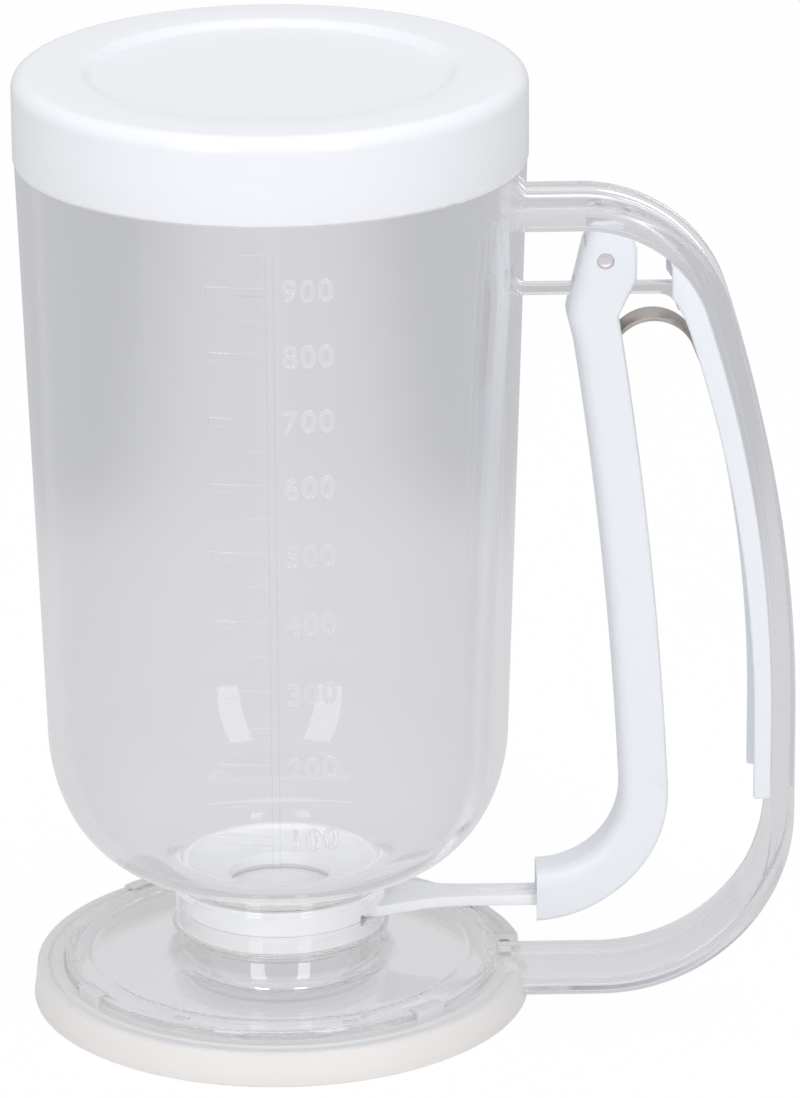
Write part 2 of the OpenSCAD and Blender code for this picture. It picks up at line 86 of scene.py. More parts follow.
def lerp(a: float, b: float, t: float) -> float:
    """Value a share t of the way from a to b."""
    return a + (b - a) * t


def polar(radius: float, degrees: float) -> Point:
    """Point at a radius and an angle from the first axis."""
    turn = math.radians(degrees)
    return radius * math.cos(turn), radius * math.sin(turn)


def shift(point: Point, by: Point) -> Point:
    """Point moved by an offset."""
    return point[0] + by[0], point[1] + by[1]


def mirrored(points: Sequence[Point]) -> list[Point]:
    """Points on the other side of the first axis, in reverse order."""
    return [(u, -v) for u, v in reversed(points)]


def arc(centre: Point, radius: float, start: float, end: float, steps: int = 8) -> list[Point]:
    """Points along a circular arc, as oval gives them for two equal radii."""
    return oval(centre, (radius, radius), start, end, steps)


def oval(centre: Point, radii: Point, start: float, end: float, steps: int) -> list[Point]:
    """Points along an upright ellipse.

    Args:
        centre: Middle of the ellipse.
        radii: Its half width and half height.
        start: First angle in degrees.
        end: Last angle in degrees.
        steps: Number of chords.

    Returns:
        The points, both ends included.
    """
    turns = [math.radians(lerp(start, end, i / steps)) for i in range(steps + 1)]
    return [(centre[0] + radii[0] * math.cos(t), centre[1] + radii[1] * math.sin(t)) for t in turns]


# ---------------------------------------------------------------- modelling bench


class Bench:
    """One mesh on the bench, shaped in edit mode and finished with modifiers."""

    def __init__(self, name: str) -> None:
        """Starts with nothing but the piece's name."""
        self.name = name
        self.obj: bpy.types.Object | None = None

    @staticmethod
    def rest() -> None:
        """Goes back to object mode with nothing selected."""
        if bpy.context.mode != "OBJECT":
            bpy.ops.object.mode_set(mode="OBJECT")
        bpy.ops.object.select_all(action="DESELECT")

    def hold(self) -> None:
        """Selects this piece alone, in object mode."""
        self.rest()
        self.obj.select_set(True)
        bpy.context.view_layer.objects.active = self.obj

    def open(self) -> None:
        """Opens this piece in edit mode."""
        self.hold()
        bpy.ops.object.mode_set(mode="EDIT")

    def adopt(self) -> "Bench":
        """Takes the primitive that was just added, with its place in its mesh.

        Returns:
            The bench, in object mode.
        """
        self.obj = bpy.context.active_object
        self.obj.name = self.name
        self.obj.data.name = self.name
        bpy.ops.object.transform_apply(location=True, rotation=True, scale=True)
        return self

    def chain(self, points: Sequence[Sequence[float]], closed: bool) -> "Bench":
        """Draws a chain of edges by extruding a single corner from point to point.

        Args:
            points: Points in millimetres.
            closed: Whether the last point is joined to the first.

        Returns:
            The bench, in edit mode with the whole chain selected.
        """
        places = [Vector(p) * MM for p in points]
        self.rest()
        bpy.ops.mesh.primitive_plane_add(size=MM, location=places[0])
        self.adopt()
        self.open()
        bpy.ops.mesh.select_mode(type="VERT")
        bpy.ops.mesh.select_all(action="SELECT")
        bpy.ops.mesh.merge(type="CENTER")
        for a, b in zip(places, places[1:]):
            bpy.ops.mesh.extrude_region_move(TRANSFORM_OT_translate={"value": b - a})
        if closed:
            last = len(places) - 1
            self.pick_corners(lambda v: v.index in (0, last))
            self.fill()
        bpy.ops.mesh.select_all(action="SELECT")
        return self

    def pick_corners(self, test: Callable[[bmesh.types.BMVert], bool]) -> None:
        """Selects the corners that pass a test on their place in metres, in edit mode."""
        self._pick("VERT", "verts", test)

    def pick_faces(self, test: Callable[[bmesh.types.BMFace], bool]) -> None:
        """Selects the faces that pass a test, in edit mode."""
        self._pick("FACE", "faces", test)

    def _pick(self, mode: str, kind: str, test: Callable) -> None:
        """Selects the elements of one kind that pass a test.

        Args:
            mode: Blender's name for selecting that kind.
            kind: The mesh's name for its list of them.
            test: Takes one element.
        """
        bpy.ops.mesh.select_mode(type=mode)
        bpy.ops.mesh.select_all(action="DESELECT")
        mesh = bmesh.from_edit_mesh(self.obj.data)
        for element in [e for e in getattr(mesh, kind) if test(e)]:
            element.select_set(True)
        mesh.select_flush_mode()
        bmesh.update_edit_mesh(self.obj.data)

    def fill(self) -> "Bench":
        """Joins two selected corners, or closes a selected ring with a face."""
        bpy.ops.mesh.edge_face_add()
        return self

    def extrude(self, by: Sequence[float]) -> "Bench":
        """Extrudes the selection by a step in millimetres."""
        bpy.ops.mesh.extrude_region_move(TRANSFORM_OT_translate={"value": [c * MM for c in by]})
        return self

    def spin(self, steps: int, degrees: float, centre: Sequence[float],
             axis: Sequence[float]) -> "Bench":
        """Spins the selection about an axis.

        Args:
            steps: Number of steps.
            degrees: Angle of the whole turn.
            centre: A point on the axis, in millimetres.
            axis: Direction of the axis.

        Returns:
            The bench, with the end of the spin selected.
        """
        bpy.ops.mesh.spin(steps=steps, angle=math.radians(degrees), center=Vector(centre) * MM,
                          axis=axis)
        return self

    def stretch(self, out: Vector, share: float, centre: Vector) -> None:
        """Stretches the selection along one direction.

        Args:
            out: The direction, in the XZ plane.
            share: New length as a share of the old one.
            centre: Point that stays where it is, in millimetres.
        """
        turned = Matrix((out, ALONG_Y, (-out.z, 0, out.x))).transposed()
        bpy.ops.transform.resize(value=(share, 1, 1), orient_matrix=turned, orient_type="GLOBAL",
                                 orient_matrix_type="GLOBAL", center_override=centre * MM)

    def close_ends(self, count: int) -> "Bench":
        """Closes a run at its selected end and at its start, whose ring has count corners.

        Args:
            count: Corners of the ring at the start.

        Returns:
            The bench, in edit mode.
        """
        self.fill()
        self.pick_corners(lambda v: v.index < count)
        return self.fill().seal()

    def seal(self) -> "Bench":
        """Merges doubles and turns all faces outward.

        Returns:
            The bench, in edit mode.
        """
        bpy.ops.mesh.select_all(action="SELECT")
        bpy.ops.mesh.remove_doubles(threshold=0.002 * MM)
        bpy.ops.mesh.normals_make_consistent(inside=False)
        return self

    def lathe(self, outline: Sequence[Point], steps: int = 180, start: float = -90.0,
              closed: bool = True) -> "Bench":
        """Turns an outline of radius and height about the upright axis.

        Args:
            outline: Points of radius and height in millimetres.
            steps: Columns round the piece.
            start: Angle of the first column in degrees.
            closed: Whether the outline is a ring, or starts and ends on the axis.

        Returns:
            The bench, in edit mode.
        """
        self.chain([(*polar(r, start), z) for r, z in outline], closed)
        return self.spin(steps, 360, MIDDLE, UP).seal()

    def slab(self, outline: Sequence[Point], width: float) -> "Bench":
        """Gives an outline in the XZ plane a width along Y, centred on the middle plane."""
        self.chain([(x, -width / 2, z) for x, z in outline], True)
        return self.fill().extrude((0, width, 0)).seal()

    def plate(self, outline: Sequence[Point], low: float, high: float) -> "Bench":
        """Gives an outline in the XY plane a thickness between two heights."""
        self.chain([(*p, low) for p in outline], True)
        return self.fill().extrude((0, 0, high - low)).seal()

    def run(self, section: Sequence[Point], stations: Sequence[tuple[Point, Point]]) -> "Bench":
        """Runs a section from station to station, turning and stretching it on the way.

        Args:
            section: Closed section: share from the left point to the right, from -0.5 to 0.5, and
                place along Y.
            stations: Left and right points in the XZ plane, in millimetres.

        Returns:
            The bench, in edit mode.
        """
        def measure(pair: tuple[Point, Point]) -> tuple[Vector, float, float]:
            """Middle, breadth and tilt of a station.

            Args:
                pair: Its left and right points.

            Returns:
                The three measures.
            """
            (ax, az), (bx, bz) = pair
            dx, dz = bx - ax, bz - az
            return Vector(((ax + bx) / 2, 0, (az + bz) / 2)), math.hypot(dx, dz), math.atan2(dz, dx)

        def outward(tilt: float) -> Vector:
            """Direction from the left point to the right."""
            return Vector((math.cos(tilt), 0, math.sin(tilt)))

        middle, breadth, tilt = measure(stations[0])
        out = outward(tilt)
        self.chain([middle + out * (u * breadth) + Vector((0, v, 0)) for u, v in section], True)
        for pair in stations[1:]:
            to, wide, lean = measure(pair)
            self.spin(1, -math.degrees(lean - tilt), middle, AGAINST_Y)
            self.stretch(outward(lean), wide / breadth, middle)
            bpy.ops.transform.translate(value=(to - middle) * MM)
            middle, breadth, tilt = to, wide, lean
        return self.close_ends(len(section))

    def block(self, low: Sequence[float], high: Sequence[float]) -> "Bench":
        """An upright block between two corners in millimetres, for cutting.

        Args:
            low: Lowest corner.
            high: Highest corner.

        Returns:
            The bench, in object mode.
        """
        self.rest()
        spans = list(zip(low, high))
        bpy.ops.mesh.primitive_cube_add(size=1, location=[(a + b) / 2 * MM for a, b in spans],
                                        scale=[(b - a) * MM for a, b in spans])
        return self.adopt()

    def rod(self, centre: Sequence[float], radius: float, length: float) -> "Bench":
        """A rod along Y, centred on a point in millimetres.

        Args:
            centre: Middle of the rod.
            radius: Its radius in millimetres.
            length: Its length in millimetres.

        Returns:
            The bench, in object mode.
        """
        self.rest()
        bpy.ops.mesh.primitive_cylinder_add(
            vertices=48, radius=radius * MM, depth=length * MM, location=[c * MM for c in centre],
            rotation=(math.pi / 2, 0, 0))
        return self.adopt()

    def modify(self, kind: str, **settings: object) -> "Bench":
        """Adds a modifier and applies it.

        Args:
            kind: The modifier's type.
            settings: Its settings by name.

        Returns:
            The bench, in object mode.
        """
        self.hold()
        step = self.obj.modifiers.new(kind, kind)
        for name, value in settings.items():
            setattr(step, name, value)
        bpy.ops.object.modifier_apply(modifier=step.name)
        return self

    def combine(self, other: "Bench", how: Join) -> "Bench":
        """Joins, cuts or trims this piece with another, which is used up.

        Args:
            other: The other solid.
            how: Whether it adds to this piece, cuts it or trims it.

        Returns:
            The bench, in object mode.
        """
        self.modify("BOOLEAN", operation=how.value, solver="EXACT", object=other.obj)
        bpy.data.objects.remove(other.obj)
        return self

    def round_edges(self, width: float, segments: int = 3, sharper_than: float = 35.0) -> "Bench":
        """Rounds the edges that are sharper than an angle.

        Args:
            width: Width of the rounding in millimetres.
            segments: Facets across it.
            sharper_than: Least angle between faces in degrees.

        Returns:
            The bench, in object mode.
        """
        return self.modify("BEVEL", width=width * MM, segments=segments, limit_method="ANGLE",
                           angle_limit=math.radians(sharper_than), use_clamp_overlap=True)

    def smooth(self, degrees: float = 32.0) -> "Bench":
        """Shades the piece smooth up to an angle between faces.

        Args:
            degrees: Greatest angle that is shaded smooth.

        Returns:
            The bench, in object mode.
        """
        self.hold()
        bpy.ops.object.shade_smooth_by_angle(angle=math.radians(degrees))
        return self

    def fit(self, body: Body, slot: str, finish: bpy.types.Material,
            *nodes: str) -> bpy.types.Object:
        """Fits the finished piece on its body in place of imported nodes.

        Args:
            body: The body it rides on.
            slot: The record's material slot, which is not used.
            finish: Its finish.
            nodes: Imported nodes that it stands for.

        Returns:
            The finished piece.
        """
        self.rest()
        self.obj.data.materials.clear()
        self.obj.data.materials.append(finish)
        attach(self.obj, body.value)
        if nodes:
            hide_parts(*nodes)
        log.info("%s: %d faces on %s", self.name, len(self.obj.data.polygons), body.value)
        return self.obj


# ---------------------------------------------------------------- paint


class Wire:
    """A shader socket whose arithmetic adds Math nodes."""

    def __init__(self, paint: "Paint", socket: bpy.types.NodeSocket) -> None:
        """Wraps one output socket."""
        self.paint = paint
        self.socket = socket

    def _math(self, operation: str, *values: "Wire | float") -> "Wire":
        """One Math node on these values."""
        return self.paint.node("ShaderNodeMath", {"operation": operation}, *values)

    def __add__(self, other: "Wire | float") -> "Wire":
        """This value plus another."""
        return self._math("ADD", self, other)

    __radd__ = __add__

    def __sub__(self, other: "Wire | float") -> "Wire":
        """This value less another."""
        return self._math("SUBTRACT", self, other)

    def __rsub__(self, other: float) -> "Wire":
        """A number less this value."""
        return self._math("SUBTRACT", other, self)

    def __mul__(self, other: "Wire | float") -> "Wire":
        """This value times another."""
        return self._math("MULTIPLY", self, other)

    __rmul__ = __mul__

    def above(self, edge: float, blur: float) -> "Wire":
        """Rises from 0 to 1 as this value passes an edge, over a blur each side."""
        return self.paint.node("ShaderNodeMapRange", {"interpolation_type": "SMOOTHSTEP"},
                               self, edge - blur, edge + blur, 0.0, 1.0)

    def size(self) -> "Wire":
        """This value without its sign."""
        return self._math("ABSOLUTE", self)

    def least(self, other: "Wire | float") -> "Wire":
        """The smaller of this value and another."""
        return self._math("MINIMUM", self, other)

    def most(self, other: "Wire | float") -> "Wire":
        """The larger of this value and another."""
        return self._math("MAXIMUM", self, other)


Value = Wire | float | Sequence[float]


class Paint:
    """A node tree that is built from expressions."""

    def __init__(self, tree: bpy.types.NodeTree) -> None:
        """Starts with an empty tree."""
        self.tree = tree
        tree.nodes.clear()

    def node(self, kind: str, settings: dict[str, object] | None = None, *values: Value,
             out: int | str = 0, **named: Value) -> Wire | None:
        """Adds one node.

        Args:
            kind: The node's type.
            settings: Its own settings.
            values: Values or wires for its sockets in order.
            out: Which output is wanted.
            named: Values or wires by socket name, with _ for a space.

        Returns:
            The wanted output, or None for a node that ends the tree.
        """
        made = self.tree.nodes.new(kind)
        for key, value in (settings or {}).items():
            setattr(made, key, value)
        sockets = list(zip(made.inputs, values))
        sockets += [(made.inputs[k.replace("_", " ")], v) for k, v in named.items()]
        for socket, value in sockets:
            self.plug(socket, value)
        return Wire(self, made.outputs[out]) if made.outputs else None

    def plug(self, socket: bpy.types.NodeSocket, value: Value) -> None:
        """Links a wire to a socket, or sets the socket's own value.

        Args:
            socket: The socket.
            value: A wire, a number, a vector, or a colour of three parts, which becomes opaque.
        """
        if isinstance(value, Wire):
            self.tree.links.new(value.socket, socket)
        else:
            colour = socket.type == "RGBA" and not isinstance(value, float)
            socket.default_value = (*value, 1) if colour else value

    def place(self, stretch: Sequence[float] = (1, 1, 1)) -> Wire:
        """The point on the piece, in metres, stretched along its axes."""
        here = self.node("ShaderNodeTexCoord", out="Object")
        return self.node("ShaderNodeMapping", None, here, Scale=stretch)

    def axis(self, name: str, of: Wire) -> Wire:
        """One part of a vector, by the axis's letter."""
        return self.node("ShaderNodeSeparateXYZ", None, of, out=name)

    def length(self, of: Wire) -> Wire:
        """Length of a vector."""
        return self.node("ShaderNodeVectorMath", {"operation": "LENGTH"}, of, out="Value")

    def noise(self, size: float, detail: float, stretch: Sequence[float] = (1, 1, 1)) -> Wire:
        """Cloudy noise from 0 to 1.

        Args:
            size: Size of its clouds in millimetres.
            detail: How many finer layers it has.
            stretch: Stretch of the pattern along the piece's axes.

        Returns:
            The noise.
        """
        return self.node("ShaderNodeTexNoise", None, Vector=self.place(stretch),
                         Scale=1 / (size * MM), Detail=detail)

    def blend(self, factor: Wire, a: Colour | Wire, b: Colour | Wire) -> Wire:
        """A colour mixed from two.

        Args:
            factor: Share of the second colour.
            a: First colour.
            b: Second colour.

        Returns:
            The mixed colour.
        """
        made = self.tree.nodes.new("ShaderNodeMix")
        made.data_type = "RGBA"
        for place, value in zip((0, 6, 7), (factor, a, b)):
            self.plug(made.inputs[place], value)
        return Wire(self, made.outputs[2])

    def bump(self, height: Wire, depth: float) -> Wire:
        """A surface normal from a height of the given depth in millimetres."""
        return self.node("ShaderNodeBump", None, Strength=1.0, Distance=depth * MM, Height=height,
                         out="Normal")

    def ray(self, name: str) -> Wire:
        """One answer of the Light Path node."""
        return self.node("ShaderNodeLightPath", out=name)

    def surface(self, **sockets: Value) -> Wire:
        """A Principled shader with these sockets."""
        return self.node("ShaderNodeBsdfPrincipled", None, **sockets)

    def glow(self, colour: Colour | Wire, strength: float = 1.0) -> Wire:
        """A shader that gives off light."""
        return self.node("ShaderNodeEmission", None, colour, strength)

    def clear(self, colour: Colour) -> Wire:
        """A shader that lets light straight through."""
        return self.node("ShaderNodeBsdfTransparent", None, colour)

    def mix(self, factor: Wire | float, a: Wire, b: Wire) -> Wire:
        """A shader mixed from two."""
        return self.node("ShaderNodeMixShader", None, factor, a, b)


def material(name: str) -> tuple[bpy.types.Material, Paint]:
    """A new material with its empty node tree.

    Args:
        name: The material's name.

    Returns:
        The material and its node tree.
    """
    made = bpy.data.materials.new(name)
    made.use_nodes = True
    return made, Paint(made.node_tree)


def shade(colour: Colour, share: float) -> list[float]:
    """A colour times a number."""
    return [c * share for c in colour]


@dataclass(frozen=True)
class Finish:
    """A finish of the dispenser's pieces, which each kind paints in its own way."""

    name: str

    def surface(self, paint: Paint) -> Wire:
        """The shader that ends the finish's node tree."""
        raise NotImplementedError

    def make(self) -> bpy.types.Material:
        """Builds the finish.

        Returns:
            The material.
        """
        made, paint = material(self.name)
        paint.node("ShaderNodeOutputMaterial", None, self.surface(paint))
        return made


@dataclass(frozen=True)
class ClearPlastic(Finish):
    """Clear moulded plastic with faint waves in its faces.

    Lamps shine through it, and rays that go deeper than a few bounces end in a painted pale
    glow, so nothing turns black.
    """

    tint: Colour = (0.965, 0.965, 0.972)
    index: float = 1.49
    wave: float = 0.004
    haze: float = 0.02
    deepest: float = 4.5
    caught: Colour = (0.72, 0.72, 0.735)
    coat: float = 0.0
    # Where the scale's upright line gets painted shade at its edges: left, right, low and high.
    line: Sequence[float] = ()
    thick: Sequence[float] = ()

    def make(self) -> bpy.types.Material:
        """Builds the finish, which isn't sampled as a lamp.

        Returns:
            The material.
        """
        made = super().make()
        made.cycles.emission_sampling = "NONE"
        return made

    def surface(self, paint: Paint) -> Wire:
        """Clear plastic, see-through to shadows, with a painted pale glow where rays go deep.

        Args:
            paint: The finish's node tree.

        Returns:
            The shader.
        """
        cloud = paint.noise(14, 2.0, (1, 1, 0.4))
        scuff = paint.noise(2.2, 4.0)
        tint = paint.blend(cloud, self.tint, shade(self.tint, 0.985))
        # Painted shade along both edges of the scale's upright line.
        if self.line:
            tint = paint.blend(self.edges(paint), tint, shade(self.tint, 0.94))
        # Painted shade darkens the tint of the foot's tube.
        if self.thick:
            tint = paint.blend(self.middle(paint), tint, shade(self.tint, 0.82))
        plastic = paint.surface(Base_Color=tint, Coat_Weight=self.coat, IOR=self.index,
                                Roughness=self.haze * 0.5 + scuff * self.haze,
                                Transmission_Weight=1.0, Normal=paint.bump(cloud, self.wave))
        # Painted light: rays deeper than the set depth end in a pale glow instead of black.
        deep = paint.ray("Ray Depth").above(self.deepest, 0.1)
        lit = paint.mix(deep, plastic, paint.glow(self.caught))
        return paint.mix(paint.ray("Is Shadow Ray"), lit, paint.clear((0.97, 0.97, 0.97)))

    def middle(self, paint: Paint) -> Wire:
        """1 inside a radius and over a height, where the foot's tube gets painted shade.

        Args:
            paint: The finish's node tree.

        Returns:
            The mask.
        """
        radius, low = (value * MM for value in self.thick)
        out = paint.length(paint.place((1, 1, 0)))
        return (1 - out.above(radius, MM)) * paint.axis("Z", paint.place()).above(low, 0.4 * MM)

    def edges(self, paint: Paint) -> Wire:
        """1 along both edges of the raised upright line, where painted shade darkens its steep
        sides.

        Args:
            paint: The node tree that asks.

        Returns:
            The mask.
        """
        left, right, low, high = (value * MM for value in self.line)
        blur = 0.1 * MM
        here = paint.place()
        x, y, z = (paint.axis(name, here) for name in "XYZ")
        close = (x - left).size().least((x - right).size())
        front = 1 - y.above(-30 * MM, MM)
        return (1 - close.above(0.15 * MM, blur)) * front * z.above(low, blur) * (
            1 - z.above(high, blur))


@dataclass(frozen=True)
class MilkyPlastic(Finish):
    """Cloudy plastic that lets lamps shine through, greyer above a height."""

    colour: Colour = (0.86, 0.83, 0.81)
    pale: Colour = (0.89, 0.865, 0.85)
    clear: float = 0.12
    gloss: float = 0.3
    top_z: float = 6.9
    top: Colour = (0.76, 0.76, 0.77)

    def surface(self, paint: Paint) -> Wire:
        """Cloudy plastic, partly see-through to shadows.

        Args:
            paint: The finish's node tree.

        Returns:
            The shader.
        """
        cloud = paint.noise(18, 3.0)
        fine = paint.noise(1.4, 3.0)
        over = paint.axis("Z", paint.place()).above(self.top_z * MM, 0.3 * MM)
        plastic = paint.surface(
            Base_Color=paint.blend(over, paint.blend(cloud, self.colour, self.pale), self.top),
            Roughness=self.gloss + 0.12 * fine, IOR=1.49, Transmission_Weight=self.clear,
            Normal=paint.bump(fine, 0.01))
        return paint.mix(paint.ray("Is Shadow Ray") * 0.7, plastic, paint.clear((1, 0.97, 0.94)))


@dataclass(frozen=True)
class WhitePlastic(Finish):
    """Glossy white moulded plastic with a faint orange peel."""

    colour: Colour = (0.84, 0.85, 0.885)
    gloss: float = 0.22

    def surface(self, paint: Paint) -> Wire:
        """White plastic.

        Args:
            paint: The finish's node tree.

        Returns:
            The shader.
        """
        cloud = paint.noise(22, 2.0)
        peel = paint.noise(0.9, 2.0)
        return paint.surface(Base_Color=paint.blend(cloud, self.colour, shade(self.colour, 0.98)),
                             Roughness=self.gloss + 0.08 * cloud, IOR=1.5,
                             Normal=paint.bump(peel, 0.006))


@dataclass(frozen=True)
class Steel(Finish):
    """Drawn or rolled steel, with fine lines along the work."""

    colour: Colour = (0.42, 0.38, 0.34)
    dark: Colour = (0.16, 0.15, 0.15)
    gloss: float = 0.32

    def surface(self, paint: Paint) -> Wire:
        """Steel with its grain along Y.

        Args:
            paint: The finish's node tree.

        Returns:
            The shader.
        """
        grain = paint.noise(0.5, 3.0, (1, 0.08, 1))
        cloud = paint.noise(5, 2.0)
        return paint.surface(Base_Color=paint.blend(cloud, self.dark, self.colour), Metallic=1.0,
                             Roughness=self.gloss + 0.15 * grain, Normal=paint.bump(grain, 0.01))


@dataclass(frozen=True)
class Silicone(Finish):
    """Soft seal rubber, cloudy and dull."""

    colour: Colour = (0.72, 0.72, 0.71)

    def surface(self, paint: Paint) -> Wire:
        """Dull rubber.

        Args:
            paint: The finish's node tree.

        Returns:
            The shader.
        """
        cloud = paint.noise(3, 3.0)
        return paint.surface(Base_Color=paint.blend(cloud, self.colour, shade(self.colour, 0.92)),
                             Roughness=0.5 + 0.15 * cloud, Normal=paint.bump(cloud, 0.02))


# ---------------------------------------------------------------- pieces


@dataclass
class Cup:
    """Clear measuring cup with its bowl, neck and raised scale."""

    top_r: float = 51.0
    knee_r: float = 47.1
    wall: float = 2.0
    neck_r: float = 22.4
    bore_r: float = 20.7
    neck_z: float = 16.0
    collar: float = 0.8
    collar_z: float = 24.5
    ripple: float = 0.14
    ripple_z: float = 28.0
    ripples: int = 8
    funnel_z: float = 28.3
    bowl_z: float = 31.1
    knee_z: float = 59.4
    shoulder_z: float = 180.0
    rim_z: float = 194.1
    rim_r: float = 49.2
    rim_edge: float = 0.6
    mouth_r: float = 47.2
    foot_r: float = 27.2
    cut: float = 0.3
    lip: float = 0.15
    columns: int = 410
    relief: float = 0.35
    tick_h: float = 1.6
    line_edge: float = 0.1
    scale_low_z: float = 44.0
    scale_low_r: float = 33.2
    line_columns: int = 2
    long_columns: int = 17
    short_columns: int = 8
    marks: dict[int, float] = field(default_factory=lambda: {
        100: 51.6, 150: 59.5, 200: 67.3, 250: 75.3, 300: 83.1, 350: 90.6, 400: 97.9, 450: 105.2,
        500: 112.3, 550: 119.5, 600: 126.5, 650: 133.4, 700: 140.2, 750: 147.0, 800: 153.6,
        850: 160.3, 900: 167.0, 950: 173.6})
    window_low: float = 18.8
    window_high: float = 21.4
    window_half: float = 13.0
    window_reach: float = 46.0
    digit_h: float = 4.5
    digit_share: float = 0.72
    digit_pitch: float = 3.5
    digit_x: float = 3.15
    digit_sink: float = 0.1
    digit_bold: float = 0.1
    digit_round: float = 0.1
    bowl_in: float = 0.75
    bowl_tilt: float = -0.28

    def wall_r(self, z: float) -> float:
        """Outside radius of the straight wall at a height."""
        return lerp(self.knee_r, self.top_r, (z - self.knee_z) / (self.shoulder_z - self.knee_z))

    def zero(self) -> float:
        """Angle of the scale's line from the front, in degrees."""
        return math.degrees(math.asin(self.line_edge / self.knee_r))

    def rows(self) -> list[float]:
        """Heights of the rows on the straight wall, with one at each edge of each tick.

        Returns:
            The heights in millimetres.
        """
        half = self.tick_h / 2
        edges = [z + side * half for z in self.marks.values() for side in (-1, 1)]
        return [z for z in edges if z > self.knee_z + 0.2]

    def outline(self) -> list[Point]:
        """Closed outline of the wall, from the neck's outer foot up and down again inside.

        Returns:
            Points of radius and height in millimetres.
        """
        cut, edge, wall = self.cut, self.rim_edge, self.wall
        stub_r = self.neck_r - self.collar
        knee = (self.foot_r, self.knee_z)
        bowl_r, bowl_h = self.knee_r - self.foot_r, self.knee_z - self.bowl_z
        flare_z = self.ripple_z + 0.1
        mouth_low = self.shoulder_z - 2 * wall
        ripples = [(self.neck_r - (self.ripple if i % 2 else 0.0),
                    lerp(self.collar_z, self.ripple_z, i / self.ripples))
                   for i in range(self.ripples + 1)]
        flare = oval((self.foot_r, flare_z), (self.foot_r - self.neck_r, self.bowl_z - flare_z),
                     180, 90, 12)
        funnel = oval((self.foot_r, self.funnel_z),
                      (self.foot_r - self.bore_r, self.bowl_z + wall - self.funnel_z), 90, 180, 14)
        return [
            (stub_r - cut, self.neck_z), (stub_r, self.neck_z + cut),
            (stub_r, self.collar_z - 0.5), (self.neck_r - 0.3, self.collar_z - 0.3),
            *ripples, *flare[:-1],
            *oval(knee, (bowl_r, bowl_h), -90, 0, 44),
            *[(self.wall_r(z), z) for z in self.rows()],
            (self.top_r, self.shoulder_z - self.lip), (self.top_r - self.lip, self.shoulder_z),
            (self.rim_r + 0.4, self.shoulder_z), (self.rim_r, self.shoulder_z + 0.4),
            *arc((self.rim_r - edge, self.rim_z - edge), edge, 0, 90, 4),
            *arc((self.mouth_r + edge, self.rim_z - edge), edge, 90, 180, 4),
            (self.mouth_r, mouth_low + 6), (self.mouth_r, mouth_low),
            *[(lerp(self.mouth_r, self.knee_r - wall, i / 10), lerp(mouth_low, self.knee_z, i / 10))
              for i in range(1, 10)],
            *oval(knee, (bowl_r - wall, bowl_h - wall), 0, -90, 40)[:-1],
            *funnel,
            (self.bore_r, self.neck_z + cut), (self.bore_r + cut, self.neck_z),
        ]

    def raise_scale(self, piece: Bench) -> None:
        """Lifts the upright line and the ticks out of the wall.

        Args:
            piece: The cup, in edit mode.
        """
        step, zero = 360 / self.columns, self.zero()
        half = self.tick_h / 2
        top = max(self.marks.values()) + half

        def raised(face: bmesh.types.BMFace) -> bool:
            """Whether a face of the outer wall belongs to the scale.

            Args:
                face: A face of the cup.

            Returns:
                True for the line and the ticks.
            """
            c = face.calc_center_median() / MM
            if c.y > 0 or not self.scale_low_z < c.z < top:
                return False
            inward = face.normal.dot(Vector((c.x, c.y, 0))) < 0
            if inward or math.hypot(c.x, c.y) < self.scale_low_r:
                return False
            column = (zero - math.degrees(math.atan2(c.x, -c.y))) / step
            if 0 < column < self.line_columns:
                return True
            for amount, z in self.marks.items():
                if abs(c.z - z) < half:
                    return 0 < column < (self.short_columns if amount % 100 else self.long_columns)
            return False

        piece.pick_faces(raised)
        grown = 1 + self.relief / ((self.top_r + self.knee_r) / 2)
        bpy.ops.mesh.extrude_region_move()
        bpy.ops.transform.resize(value=(grown, grown, 1), center_override=MIDDLE)

    def build(self) -> Bench:
        """Models the cup, with the window that the gate slides through.

        Returns:
            The cup.
        """
        piece = Bench("cup_body").lathe(self.outline(), self.columns, -90 + self.zero())
        self.raise_scale(piece)
        window = Bench("window").block((0, -self.window_half, self.window_low),
                                       (self.window_reach, self.window_half, self.window_high))
        return piece.combine(window, Join.CUT).smooth(28)

    def digit(self, figure: str) -> bpy.types.Object:
        """Models one raised figure, centred on the origin and facing -Y.

        Args:
            figure: The figure.

        Returns:
            Its mesh object.
        """
        Bench.rest()
        bpy.ops.object.text_add(location=MIDDLE, rotation=(math.pi / 2, 0, 0))
        words = bpy.context.active_object.data
        words.body = figure
        words.align_x = "CENTER"
        words.size = self.digit_h / self.digit_share * MM
        words.offset = self.digit_bold * MM
        words.extrude = ((self.relief + self.digit_sink) / 2 - self.digit_round) * MM
        words.bevel_depth = self.digit_round * MM
        words.bevel_resolution = 1
        words.resolution_u = 4
        bpy.ops.object.convert(target="MESH")
        bpy.ops.object.transform_apply(location=True, rotation=True, scale=True)
        made = bpy.context.active_object
        x, z = ([v.co[i] for v in made.data.vertices] for i in (0, 2))
        made.data.transform(
            Matrix.Translation((-(min(x) + max(x)) / 2, 0, -(min(z) + max(z)) / 2)))
        return made

